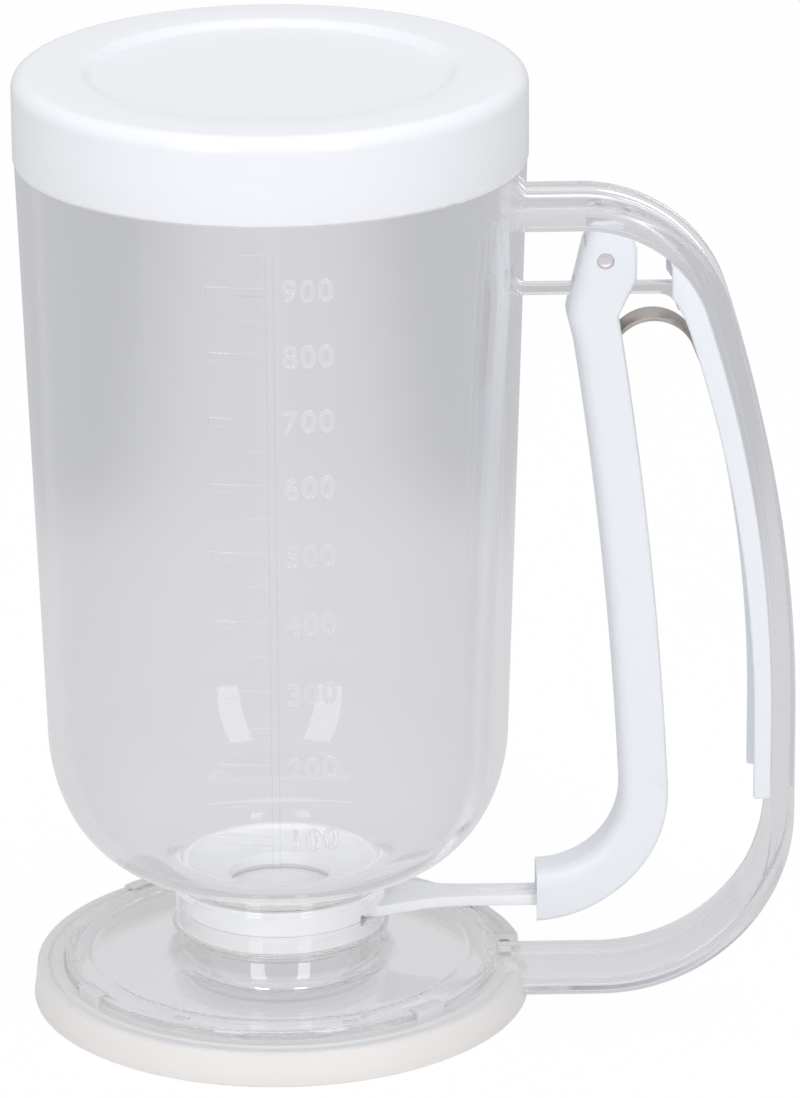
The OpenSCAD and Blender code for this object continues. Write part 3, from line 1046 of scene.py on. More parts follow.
    def lay(self, pattern: bpy.types.Object, z: float, place: int) -> bpy.types.Object:
        """Lays a copy of a figure on the wall.

        Args:
            pattern: The figure.
            z: Height of its tick.
            place: Which figure of the number it is, from 0.

        Returns:
            The copy.
        """
        copy = pattern.copy()
        copy.data = pattern.data.copy()
        bpy.context.scene.collection.objects.link(copy)
        radius, tilt = self.knee_r - self.bowl_in, self.bowl_tilt
        if z > self.knee_z:
            radius = self.wall_r(z)
            tilt = math.atan((self.top_r - self.knee_r) / (self.shoulder_z - self.knee_z))
        face = radius + self.relief / 2 - self.digit_sink / 2
        turn = math.asin((self.digit_x + place * self.digit_pitch) / radius)
        copy.data.transform(
            Matrix.Rotation(turn, 4, "Z") @ Matrix.Translation((0, -face * MM, z * MM))
            @ Matrix.Rotation(tilt, 4, "X"))
        return copy

    def build_numbers(self) -> Bench:
        """Models the figures beside the long ticks.

        Returns:
            The figures, in one piece.
        """
        numbers = {str(amount): z for amount, z in self.marks.items() if amount % 100 == 0}
        patterns = {figure: self.digit(figure) for figure in dict.fromkeys("".join(numbers))}
        laid = [self.lay(patterns[figure], z, place) for number, z in numbers.items()
                for place, figure in enumerate(number)]
        for pattern in patterns.values():
            bpy.data.objects.remove(pattern)
        Bench.rest()
        for copy in laid:
            copy.select_set(True)
        bpy.context.view_layer.objects.active = laid[0]
        bpy.ops.object.join()
        piece = Bench("scale_numbers").adopt()
        piece.open()
        return piece.seal().smooth(30)


@dataclass
class Lid:
    """White push-on lid with a shallow dish in its top and a plug ring under it."""

    radius: float = 51.3
    low_z: float = 180.06
    top_z: float = 197.6
    wall: float = 1.8
    edge_r: float = 3.2
    crest_r: float = 43.0
    dish_r: float = 38.0
    dish_depth: float = 1.4
    dish_slope: float = 3.4
    sag: Sequence[Point] = ((0, 0.12), (14, 0.1), (25, 0.05))
    roof_z: float = 194.4
    roof_r: float = 20.0
    plug_low_z: float = 189.4
    plug_out_r: float = 46.9
    plug_in_r: float = 45.1
    cut: float = 0.3
    foot_edge: float = 0.5

    def outline(self) -> list[Point]:
        """Open outline from the middle of the top, over the edge and back under the roof.

        Returns:
            Points of radius and height in millimetres.
        """
        cut, foot = self.cut, self.foot_edge
        inner = self.radius - self.wall
        floor_z = self.top_z - self.dish_depth
        slope = [(self.dish_r - self.dish_slope * (1 - t),
                  lerp(floor_z, self.top_z, t * t * (3 - 2 * t)))
                 for t in [i / 10 for i in range(11)]]
        return [
            *[(r, floor_z - drop) for r, drop in self.sag], *slope, (self.crest_r, self.top_z),
            *arc((self.radius - self.edge_r, self.top_z - self.edge_r), self.edge_r, 90, 0, 14),
            (self.radius, self.low_z + 6), (self.radius, self.low_z + foot),
            *arc((self.radius - foot, self.low_z + foot), foot, 0, -90, 4),
            (inner + cut, self.low_z), (inner, self.low_z + cut), (inner, self.roof_z - 1),
            *arc((inner - 1, self.roof_z - 1), 1, 0, 90, 4),
            (self.plug_out_r + 0.4, self.roof_z), (self.plug_out_r, self.roof_z - 0.4),
            (self.plug_out_r, self.plug_low_z + 0.8), (self.plug_out_r - 0.8, self.plug_low_z),
            (self.plug_in_r + cut, self.plug_low_z), (self.plug_in_r, self.plug_low_z + cut),
            (self.plug_in_r, self.roof_z - 0.4), (self.plug_in_r - 0.4, self.roof_z),
            (self.roof_r, self.roof_z), (0, self.roof_z),
        ]

    def build(self) -> Bench:
        """Models the lid."""
        return Bench("lid_cap").lathe(self.outline(), 240, closed=False).smooth(30)


@dataclass
class Foot:
    """Clear foot plate with its outlet tube, and the milky ring round it."""

    plate_r: float = 44.6
    plate_z: float = 9.4
    wall: float = 1.7
    cut: float = 0.3
    tube_r: float = 20.0
    flange_r: float = 22.4
    flange_z: float = 16.0
    flange_t: float = 1.2
    flange_gap: float = 0.02
    flare: Sequence[Point] = (
        (0.5, 13.2), (1.05, 12.1), (1.65, 11.1), (2.3, 10.3), (3.1, 9.75), (4.1, 9.45), (5.2, 9.4))
    flat_r: float = 32.0
    step_r: float = 38.4
    step_points: Sequence[Point] = (
        (-0.3, 0), (0, 0), (0.5, 0.2), (0.9, 0.2), (1.4, 0), (1.7, 0))
    skirt_z: float = 1.8
    spout_z: float = 4.0
    ring_r: float = 51.2
    ring_h: float = 7.4
    ring_gap: float = 0.2
    lip: float = 1.6
    lip_w: float = 2.4
    draft: float = 0.6
    edge_r: float = 0.9
    edge_in: float = 0.7
    bead_in: float = 3.6
    bead: float = 0.5
    notch_angles: Sequence[float] = (66, 114, 246, 294)
    notch_in: float = 3.4
    notch_out: float = 2.0
    notch_depth: float = 0.4
    notch_half: float = 2.4
    tab_angles: Sequence[float] = (40, 140, 220, 320)
    tab_half: float = 4.5
    tab_t: float = 1.2
    tab_over: float = 0.55
    tab_reach: float = 1.6
    tab_sink: float = 0.85
    arm_w: float = 20.4
    arm_low: float = 1.3

    def plate_outline(self) -> list[Point]:
        """Closed outline of the plate: tube, flange, top face, skirt and underside.

        Returns:
            Points of radius and height in millimetres.
        """
        cut, tube, plate, top = self.cut, self.tube_r, self.plate_r, self.plate_z
        bore, inner = tube - self.wall, plate - self.wall
        under = top - self.wall
        flange_top = self.flange_z - self.flange_gap
        flange_low = self.flange_z - self.flange_t
        return [
            (bore, self.spout_z + 0.4), (bore, self.flange_z - cut), (bore + cut, flange_top),
            (self.flange_r - cut, flange_top), (self.flange_r, self.flange_z - cut),
            (self.flange_r, flange_low + cut), (self.flange_r - 0.4, flange_low - 0.1),
            (tube + 0.1, flange_low - 0.3), (tube, flange_low - 0.6),
            *[(tube + lean, z) for lean, z in self.flare], (self.flat_r, top),
            *[(self.step_r + out, top - drop) for out, drop in self.step_points], (plate - 2, top),
            *arc((plate - 0.8, top - 0.8), 0.8, 90, 0, 5),
            (plate, self.skirt_z + cut), (plate - cut, self.skirt_z),
            (inner + cut, self.skirt_z), (inner, self.skirt_z + cut),
            (inner, under - 0.6), (inner - 0.6, under),
            (self.flat_r, under), (tube + 0.8, under), (tube, under - 0.8),
            (tube, self.spout_z + cut), (tube - cut, self.spout_z), (bore + 0.4, self.spout_z),
        ]

    def ring_outline(self) -> list[Point]:
        """Closed outline of the ring: inner lip, top with its bead, sloped side and hollow.

        Returns:
            Points of radius and height in millimetres.
        """
        cut, top, out, lip, bead = self.cut, self.ring_h, self.ring_r, self.lip, self.bead
        inner = self.plate_r + self.ring_gap
        web_r, web = inner + self.wall, top - self.wall
        side = out - self.wall
        bead_r = out - self.bead_in
        tip = inner - self.lip_w
        return [
            (tip + 0.2, 0), (web_r - 0.2, 0), (web_r, 0.2), (web_r, web - 0.4), (web_r + 0.4, web),
            (side - self.draft - 0.4, web), (side - self.draft, web - 0.4),
            (side - 0.1, 0.2), (side + 0.1, 0),
            (out - self.draft - 0.1, 0), (out - 0.1, 0.35), (out, self.draft + 0.1),
            (out - 0.4, 3.3),
            *arc((out - self.edge_r - self.edge_in, top - self.edge_r), self.edge_r, 10, 90, 8),
            (bead_r + bead + 0.2, top), (bead_r + 0.15, top - bead + 0.1), (bead_r, top - bead),
            (bead_r - 0.15, top - bead + 0.1), (bead_r - bead - 0.2, top),
            (inner + cut, top), (inner, top - cut), (inner, lip + cut), (inner - cut, lip),
            (tip + 0.2, lip), (tip, lip - 0.2), (tip, 0.2),
        ]

    @staticmethod
    def sector(name: str, outline: Sequence[Point], middle: float, half: float) -> Bench:
        """A short solid that follows the ring.

        Args:
            name: Name of the solid.
            outline: Closed outline of radius and height in millimetres.
            middle: Angle of its middle in degrees.
            half: Half the angle that it takes up.

        Returns:
            The solid, in edit mode.
        """
        piece = Bench(name).chain([(*polar(r, middle - half), z) for r, z in outline], True)
        return piece.fill().spin(8, 2 * half, MIDDLE, UP).seal()

    def build_plate(self) -> Bench:
        """Models the clear plate and its tube.

        Returns:
            The plate.
        """
        piece = Bench("foot_disc").lathe(self.plate_outline(), 240)
        low, high = self.plate_r - self.notch_in, self.plate_r - self.notch_out
        deep, over = self.plate_z - self.notch_depth, self.plate_z + 1
        outline = [(low, deep), (high, deep), (high, over), (low, over)]
        for angle in self.notch_angles:
            piece.combine(self.sector("notch", outline, angle, self.notch_half), Join.CUT)
        return piece.smooth(30)

    def build_ring(self) -> Bench:
        """Models the milky ring with its four tabs and its gap for the handle.

        Returns:
            The ring.
        """
        piece = Bench("foot_rim").lathe(self.ring_outline(), 240)
        gap = Bench("gap").block((0, -self.arm_w / 2, self.arm_low), (60, self.arm_w / 2, 12))
        piece.combine(gap, Join.CUT)
        inner = self.plate_r + self.ring_gap
        under = self.plate_z + 0.05
        top = under + self.tab_over
        near, tip = inner + 0.3, inner - self.tab_reach
        far, low = near + self.tab_t, self.ring_h - self.tab_sink
        outline = [(near, low), (far, low), (far, top), (tip, top), (tip, under), (near, under)]
        for angle in self.tab_angles:
            tab = self.sector("tab", outline, angle, self.tab_half).round_edges(0.15, 2)
            piece.combine(tab, Join.ADD)
        return piece.smooth(30)


@dataclass
class Hinged:
    """Sizes of the pivot and the cross bar, which the handle and the lever share."""

    pivot: Point = (66.4, 158.5)
    pin_d: float = 3.4
    bar_z: float = 152.4
    bar_t: float = 2.2
    lug_r: float = 3.8

    def hole(self, gap: float, length: float) -> Bench:
        """The room of the pivot pin, with a gap round it, for cutting."""
        middle = (self.pivot[0], 0, self.pivot[1])
        return Bench("bore").rod(middle, self.pin_d / 2 + gap, length)


@dataclass
class Handle(Hinged):
    """Clear loop handle with its cross bar and lug, and the white liner in its grip."""

    width: float = 20.0
    depth: float = 4.9
    low_depth: float = 4.0
    reach: float = 105.3
    arm_top_z: float = 170.8
    bend_c: Point = (61.8, 139.7)
    bend_r: float = 31.1
    bend_a: float = 72.0
    grip_c: Point = (-179.2, 61.4)
    grip_r: float = 284.5
    low_c: Point = (65.8, 41.0)
    low_r: float = 39.5
    easing: int = 12
    easing_a: float = 30.0
    start_x: float = 46.0
    end_x: float = 40.6
    corner_r: float = 0.8
    groove_half: float = 5.5
    groove: float = 1.1
    side_in: float = 1.1
    side_w: float = 0.5
    bar_w: float = 3.0
    bar_gap: float = 0.2
    gusset_h: float = 5.4
    gusset_r: float = 3.6
    gusset_gap: float = 11.0
    lug_w: float = 7.8
    seat_gap: float = 0.02
    liner_t: float = 1.0
    liner_w: float = 21.0
    liner_top: float = 5.4
    liner_low: float = 3.6
    liner_top_x: float = 79.4
    liner_end_z: float = 44.6

    def section(self) -> list[Point]:
        """Closed section: distance in from the outer face, and place across the width.

        Returns:
            The section's points in millimetres.
        """
        half, r, depth = self.width / 2, self.corner_r, self.depth
        groove, edge = self.groove, self.groove_half
        side = depth - self.side_in
        step = side - self.side_w
        points = [
            (groove, 0), (groove, edge - 1.0), (groove * 0.85, edge - 0.6),
            (groove * 0.15, edge + 0.1), (0, edge + 0.5), (0, half - r),
            *[(r - a, half - r + b) for a, b in (polar(r, 30), polar(r, 60))],
            (r, half), (step - 0.1, half), (step, half - 0.4), (side, half - 0.4),
            (side + 0.1, half), (depth - 0.5, half), (depth - 0.15, half - 0.15),
            (depth, half - 0.5), (depth, half - 3),
        ]
        return points + mirrored(points[1:])

    def build_loop(self) -> Bench:
        """Models the loop by running its section along the arms and round the bends.

        Returns:
            The loop, in edit mode.
        """
        section = self.section()
        piece = Bench("handle_loop")
        piece.chain([(self.start_x, v, self.arm_top_z - u) for u, v in section], True)
        straight = self.bend_c[0] - self.start_x
        for share in (0.35, 0.35, 0.3):
            piece.extrude((straight * share, 0, 0))
        piece.spin(30, self.bend_a, (self.bend_c[0], 0, self.bend_c[1]), AGAINST_Y)
        piece.spin(24, 90 - self.bend_a, (self.grip_c[0], 0, self.grip_c[1]), AGAINST_Y)
        drop = self.grip_c[1] - self.low_c[1]
        for share in (0.5, 0.5):
            piece.extrude((0, 0, -drop * share))
        low_c = (self.low_c[0], 0, self.low_c[1])
        thinning = (self.low_depth / self.depth) ** (1 / self.easing)
        step = self.easing_a / self.easing
        for i in range(self.easing):
            piece.spin(1, step, low_c, AGAINST_Y)
            turn = math.radians(step * (i + 1))
            out = Vector((math.cos(turn), 0, -math.sin(turn)))
            piece.stretch(out, thinning, Vector(low_c) + out * self.low_r)
        piece.spin(24, 90 - self.easing_a, low_c, AGAINST_Y)
        back = self.low_c[0] - self.end_x
        for share in (0.4, 0.6):
            piece.extrude((-back * share, 0, 0))
        return piece.close_ends(len(section))

    def grip_x(self, z: float) -> float:
        """X of the inner face of the upper bend at a height."""
        rise = z - self.bend_c[1]
        return self.bend_c[0] + math.sqrt((self.bend_r - self.depth) ** 2 - rise ** 2)

    def bar(self) -> Bench:
        """The cross bar with its gusset.

        Returns:
            The bar, in object mode.
        """
        low, end_z = self.bar_z - self.bar_t, self.bar_z - self.gusset_h
        corner = (self.pivot[0] + self.gusset_gap, low - self.gusset_r)
        return Bench("bar").slab([
            (self.start_x, self.bar_z), (self.grip_x(self.bar_z) + 1, self.bar_z),
            (self.grip_x(end_z) + 1, end_z), *arc(corner, self.gusset_r, 0, 90, 8),
            (self.start_x, low)], self.bar_w).round_edges(0.35, 3)

    def lug(self) -> Bench:
        """The lug that hangs from the upper arm and carries the pivot pin.

        Returns:
            The lug, in object mode.
        """
        x, r = self.pivot[0], self.lug_r
        top = self.arm_top_z - self.depth + 1
        outline = [*arc(self.pivot, r, 180, 360, 20), (x + r, top), (x - r, top)]
        return Bench("lug").slab(outline, self.lug_w).round_edges(0.3, 2)

    def build(self, cup: Cup, foot: Foot) -> Bench:
        """Models the handle.

        Args:
            cup: The cup whose wall it meets.
            foot: The foot whose plate it meets.

        Returns:
            The handle.
        """
        piece = self.build_loop()
        piece.combine(self.bar(), Join.ADD)
        piece.combine(self.lug(), Join.ADD)
        piece.combine(self.hole(0.05, 24), Join.CUT)
        gap = self.seat_gap
        core = [(0, cup.knee_z), (cup.knee_r + gap, cup.knee_z), (cup.top_r + gap, cup.shoulder_z),
                (0, cup.shoulder_z)]
        piece.combine(Bench("core").lathe(core, cup.columns, closed=False), Join.CUT)
        disc = [(0, -1), (foot.plate_r + gap, -1), (foot.plate_r + gap, foot.plate_z),
                (0, foot.plate_z)]
        piece.combine(Bench("disc").lathe(disc, 240, closed=False), Join.CUT)
        return piece.smooth(26)

    def grip_line(self, off: float) -> list[Point]:
        """Points down the inner face of the grip at a depth from its outer face."""
        upper = arc(self.bend_c, self.bend_r - off, 90, 90 - self.bend_a, 24)
        return upper + arc(self.grip_c, self.grip_r - off, 90 - self.bend_a, 0, 24)[1:]

    def liner_band(self, near: float, far_top: float, far_low: float) -> list[Point]:
        """Closed band between one depth from the handle's inner face and a changing one.

        Args:
            near: The depth that stays the same.
            far_top: The other depth at the top.
            far_low: The other depth at the lower end.

        Returns:
            The band's outline.
        """
        near, far_top, far_low = (self.depth + d for d in (near, far_top, far_low))
        inner = self.grip_line(near) + [(self.reach - near, self.low_c[1])]
        a, b = self.grip_line(far_top), self.grip_line(far_low)
        last = len(a) - 1
        outer = [(lerp(p[0], q[0], i / last), lerp(p[1], q[1], i / last))
                 for i, (p, q) in enumerate(zip(a, b))]
        outer.append((self.reach - far_low, self.low_c[1]))
        return inner + outer[::-1]

    def build_liner(self) -> Bench:
        """Models the white channel in the grip.

        Returns:
            The liner.
        """
        piece = Bench("grip_channel").slab(
            self.liner_band(self.seat_gap, self.liner_top, self.liner_low), self.liner_w)
        room = Bench("room").block((self.liner_top_x, -20, self.liner_end_z),
                                   (120, 20, self.arm_top_z))
        piece.combine(room, Join.KEEP).round_edges(0.7, 4, 50)
        open_d = 2 * self.liner_top
        hollow = Bench("hollow").slab(self.liner_band(self.liner_t, open_d, open_d),
                                      self.liner_w - 2 * self.liner_t)
        piece.combine(hollow, Join.CUT)
        half = self.bar_w / 2 + self.bar_gap
        slot = Bench("slot").block((0, -half, self.bar_z - self.gusset_h - self.bar_gap),
                                   (120, half, self.arm_top_z))
        return piece.combine(slot, Join.CUT).smooth(30)


@dataclass
class Lever(Hinged):
    """White squeeze lever and its pivot pin."""

    width: float = 12.0
    depth: float = 9.8
    wall: float = 1.8
    cheek: float = 3.2
    edge_r: float = 0.9
    pin_sink: float = 0.4
    stalk: Point = (-1.5, -16.3)
    shoulder: Point = (-7.7, -11.6)
    head: Sequence[tuple[float, float, float]] = (
        (-7.7, 2.7, -11.6), (-6.9, 4.4, -8.0), (-5.95, 6.2, -4.2), (-5.0, 6.3, 0.0),
        (-4.45, 6.3, 2.2), (-3.95, 5.7, 4.0), (-3.6, 4.6, 5.3), (-3.2, 2.8, 6.0))
    sweep: float = 902.02
    lean_top: float = 8.911
    lean_low: float = 2.711
    low_c: Point = (52.8, 44.1)
    bend_r: float = 22.0
    flare: float = 0.9
    bar_half: float = 1.9
    bar_room: float = 2.4
    link: Point = (57.5, 20.1)
    link_d: float = 3.0

    def line(self, off: float) -> list[Point]:
        """Points down the lever at a distance from its middle line.

        Args:
            off: The distance, toward the grip if positive.

        Returns:
            The points, from the shoulder to the lower end.
        """
        top = shift(self.pivot, self.stalk)
        down = polar(self.sweep, self.lean_top)
        centre = (top[0] - down[0], top[1] - down[1])
        points = arc(centre, self.sweep + off, self.lean_top, self.lean_low, 16)
        for share in [i / 24 for i in range(25)]:
            spread = self.flare * max(0.0, 2.5 * share - 1.5) if off > 0 else 0.0
            points.append(shift(self.low_c, polar(self.bend_r + off + spread,
                                                  lerp(self.lean_low, -90, share))))
        return points

    def section(self) -> list[Point]:
        """Closed section: share of the depth from the cup's side, and place across the width.

        Returns:
            The section's points.
        """
        half, r, e, d = self.width / 2, self.cheek, self.edge_r, self.depth
        cup_side = [((r + a) / d - 0.5, half - r + b) for a, b in arc((0, 0), r, 180, 90, 8)]
        grip_side = [(0.5 - (e - a) / d, half - e + b) for a, b in arc((0, 0), e, 90, 0, 4)]
        return cup_side + grip_side + mirrored(cup_side + grip_side)

    def stations(self) -> list[tuple[Point, Point]]:
        """Pairs of points, on the cup's side and the grip's, from the lower end to the head.

        Returns:
            The pairs, in millimetres.
        """
        half = self.depth / 2
        pairs = list(zip(self.line(-half), self.line(half)))[::-1]
        return pairs + [(shift(self.pivot, (left, z)), shift(self.pivot, (right, z)))
                        for left, right, z in self.head]

    def hollow(self) -> list[Point]:
        """Closed outline of the room inside, open toward the grip and over the head.

        Returns:
            The outline's points in millimetres.
        """
        half, wall = self.depth / 2, self.wall
        end_x, end_z = self.low_c[0] - 1, self.low_c[1] - self.bend_r
        head_x, back_x = self.pivot[0] - self.lug_r - 0.3, self.pivot[0] + 8.3
        top_z = self.pivot[1] + 8
        return [shift(self.pivot, (self.shoulder[0] + wall, self.shoulder[1] + wall / 2)),
                *self.line(-half + wall), (end_x, end_z + half - wall), (end_x, end_z - half - 1),
                *self.line(half + 1)[::-1], (back_x, self.pivot[1] + self.stalk[1]),
                (back_x, top_z), (head_x, top_z), (head_x, self.pivot[1])]

    def build(self) -> Bench:
        """Models the lever, with its room for the cross bar and its slot for the link pin.

        Returns:
            The lever.
        """
        piece = Bench("lever_arm").run(self.section(), self.stations()).round_edges(0.5, 3, 50)
        inside = self.width - 2 * self.wall
        piece.combine(Bench("hollow").slab(self.hollow(), inside), Join.CUT)
        low = self.bar_z - self.bar_t - 0.8
        room = Bench("room").block((self.pivot[0] + self.shoulder[0] - 2, -self.bar_half, low),
                                   (self.pivot[0], self.bar_half, low + self.bar_t + self.bar_room))
        piece.combine(room, Join.CUT)
        piece.combine(self.hole(0.02, 20), Join.CUT)
        x, z = self.link
        half, deep = self.link_d / 2 + 0.2, inside / 2 + 1
        slot = Bench("slot").block((x - half, -deep, z - half - 1), (x + half, deep, z + half + 1))
        return piece.combine(slot, Join.CUT).smooth(32)

    def build_pin(self) -> Bench:
        """Models the pivot pin with its slightly dished ends.

        Returns:
            The pin.
        """
        half, r = self.width / 2 - self.pin_sink, self.pin_d / 2
        end = [(0, half - 0.25), (r * 0.55, half - 0.2), (r * 0.7, half), (r - 0.2, half),
               (r, half - 0.2)]
        outline = [(a, -y) for a, y in end] + end[::-1]
        x, z = self.pivot
        piece = Bench("pivot_rod").chain([(x + a, y, z) for a, y in outline], False)
        return piece.spin(48, 360, (x, 0, z), ALONG_Y).seal().smooth(30)


@dataclass
class LeafSpring:
    """Bent steel strip between the lever and the grip."""

    arch_c: Point = (76.2, 136.8)
    arch_r: float = 8.8
    left: Point = (65.87, 117.72)
    right: Point = (92.73, 119.2)
    left_a: float = 175.5
    right_a: float = 21.8
    thickness: float = 0.8
    width: float = 7.6
    squeezed: float = 0.71

    def side(self, off: float) -> list[Point]:
        """Points along the strip at a distance from its middle line.

        Args:
            off: The distance, outward from the arch if positive.

        Returns:
            The points.
        """
        return [shift(self.left, polar(off, self.left_a)),
                *arc(self.arch_c, self.arch_r + off, self.left_a, self.right_a, 36),
                shift(self.right, polar(off, self.right_a))]

    def build(self) -> Bench:
        """Models the strip.

        Returns:
            The strip.
        """
        half = self.thickness / 2
        piece = Bench("spring_strip").slab(self.side(half) + self.side(-half)[::-1], self.width)
        return piece.round_edges(0.18, 2, 60).smooth(30)


@dataclass
class Valve:
    """White valve seat in the neck, the clear ring under it, and the sliding gate."""

    seat_r: float = 20.6
    seat_z: float = 19.9
    seat_top: float = 28.4
    dish_r: float = 19.2
    throat_z: float = 25.2
    outlet_r: float = 10.7
    seal_z: float = 26.2
    seal_d: float = 2.0
    pocket_r: float = 12.5
    pocket_z: float = 22.3
    cut: float = 0.3
    channel_half: float = 13.0
    channel_x: float = 30.0
    channel_low: float = 18.9
    channel_high: float = 21.3
    ring_z: float = 16.0
    ring_top: float = 19.88
    gate_r: float = 12.8
    gate_low: float = 19.0
    gate_high: float = 21.2
    stem_half: float = 3.6
    stem_x: float = 30.0
    stem_cut: float = 0.6
    groove_x: float = 41.0
    groove_half: float = 0.6
    groove_depth: float = 0.5
    link_x: float = 57.5
    link_d: float = 3.0
    link_wall: float = 1.2

    def build_seat(self) -> Bench:
        """Models the seat with its seal groove, outlet and gate channel.

        Returns:
            The seat.
        """
        cut, r, top = self.cut, self.seat_r, self.seat_top
        groove = r - self.seal_d
        low, high = self.seal_z - self.seal_d / 2, self.seal_z + self.seal_d / 2
        throat = self.outlet_r + cut
        dish = oval((throat, top), (self.dish_r - throat, top - self.throat_z), -80, 0, 12)
        piece = Bench("seat_block").lathe([
            (throat, self.throat_z), *dish, (r - cut, top), (r, top - cut),
            (r, high), (groove, high), (groove, low), (r, low),
            (r, self.seat_z + 0.2), (r - 0.2, self.seat_z), (self.pocket_r, self.seat_z),
            (self.pocket_r, self.pocket_z), (self.outlet_r, self.pocket_z),
            (self.outlet_r, self.throat_z - cut)])
        return piece.combine(self.channel(), Join.CUT).smooth(30)

    def channel(self) -> Bench:
        """The room that the gate slides in, for cutting.

        Returns:
            The room, in edit mode.
        """
        half = self.channel_half
        outline = [*arc((0, 0), half, 90, 270, 36), (self.channel_x, -half), (self.channel_x, half)]
        return Bench("channel").plate(outline, self.channel_low, self.channel_high)

    def build_ring(self) -> Bench:
        """Models the clear ring that holds the seat up.

        Returns:
            The ring.
        """
        cut, r, hole = self.cut, self.seat_r, self.outlet_r
        piece = Bench("holding_ring").lathe([
            (hole + 0.2, self.ring_z), (r - cut, self.ring_z), (r, self.ring_z + cut),
            (r, self.ring_top), (hole, self.ring_top), (hole, self.ring_z + 0.2)])
        return piece.combine(self.channel(), Join.CUT).smooth(30)

    def gate_outline(self) -> list[Point]:
        """Closed outline of the gate's disc and its tapered stem.

        Returns:
            The outline's points in millimetres.
        """
        x, half, cut = self.stem_x, self.stem_half, self.stem_cut
        end = self.link_x + self.link_d
        side = [(end, half - cut), (end - cut, half), (x + 8, half), (x + 4, half + 0.3),
                (x, half + 1.2), (x - 4, half + 2.6), (x - 9, half + 4.6),
                (self.outlet_r / 2 + 6.6, self.gate_r * 0.85 - 0.9)]
        return arc((0, 0), self.gate_r, 64, 296, 60) + mirrored(side) + side

    def build_gate(self) -> Bench:
        """Models the gate, with the boss at the stem's end and the groove along it.

        Returns:
            The gate.
        """
        low, high = self.gate_low, self.gate_high
        piece = Bench("gate_slide").plate(self.gate_outline(), low, high).round_edges(0.3, 3, 50)
        link = (self.link_x, 0, (low + high) / 2)
        r = self.link_d / 2
        boss = Bench("boss").rod(link, r + self.link_wall, 2 * self.stem_half - 0.1)
        piece.combine(boss.round_edges(0.25, 2, 50), Join.ADD)
        piece.combine(Bench("bore").rod(link, r + 0.02, 12), Join.CUT)
        groove = Bench("groove").block(
            (self.groove_x, -self.groove_half, high - self.groove_depth),
            (self.link_x - self.link_d - 1, self.groove_half, high + 1))
        return piece.combine(groove, Join.CUT).smooth(32)


# ---------------------------------------------------------------- studio


@dataclass
class Lamp:
    """One soft box that faces the cup, placed by its angles from the camera's side."""

    name: str
    azimuth: float
    elevation: float
    size: Point
    power: float
    distance: float = 1500.0
    aim: Point3 = (0, 0, 100)

    def hang(self) -> None:
        """Adds the lamp."""
        a, e = math.radians(self.azimuth), math.radians(self.elevation)
        out = Vector((math.sin(a) * math.cos(e), -math.cos(a) * math.cos(e), math.sin(e)))
        data = bpy.data.lights.new(self.name, "AREA")
        data.shape = "RECTANGLE"
        data.size, data.size_y = (side * MM for side in self.size)
        data.energy = self.power
        lamp = bpy.data.objects.new(self.name, data)
        lamp.matrix_world = (Matrix.Translation((Vector(self.aim) + out * self.distance) * MM)
                             @ out.to_track_quat("Z", "Y").to_matrix().to_4x4())
        bpy.context.scene.collection.objects.link(lamp)


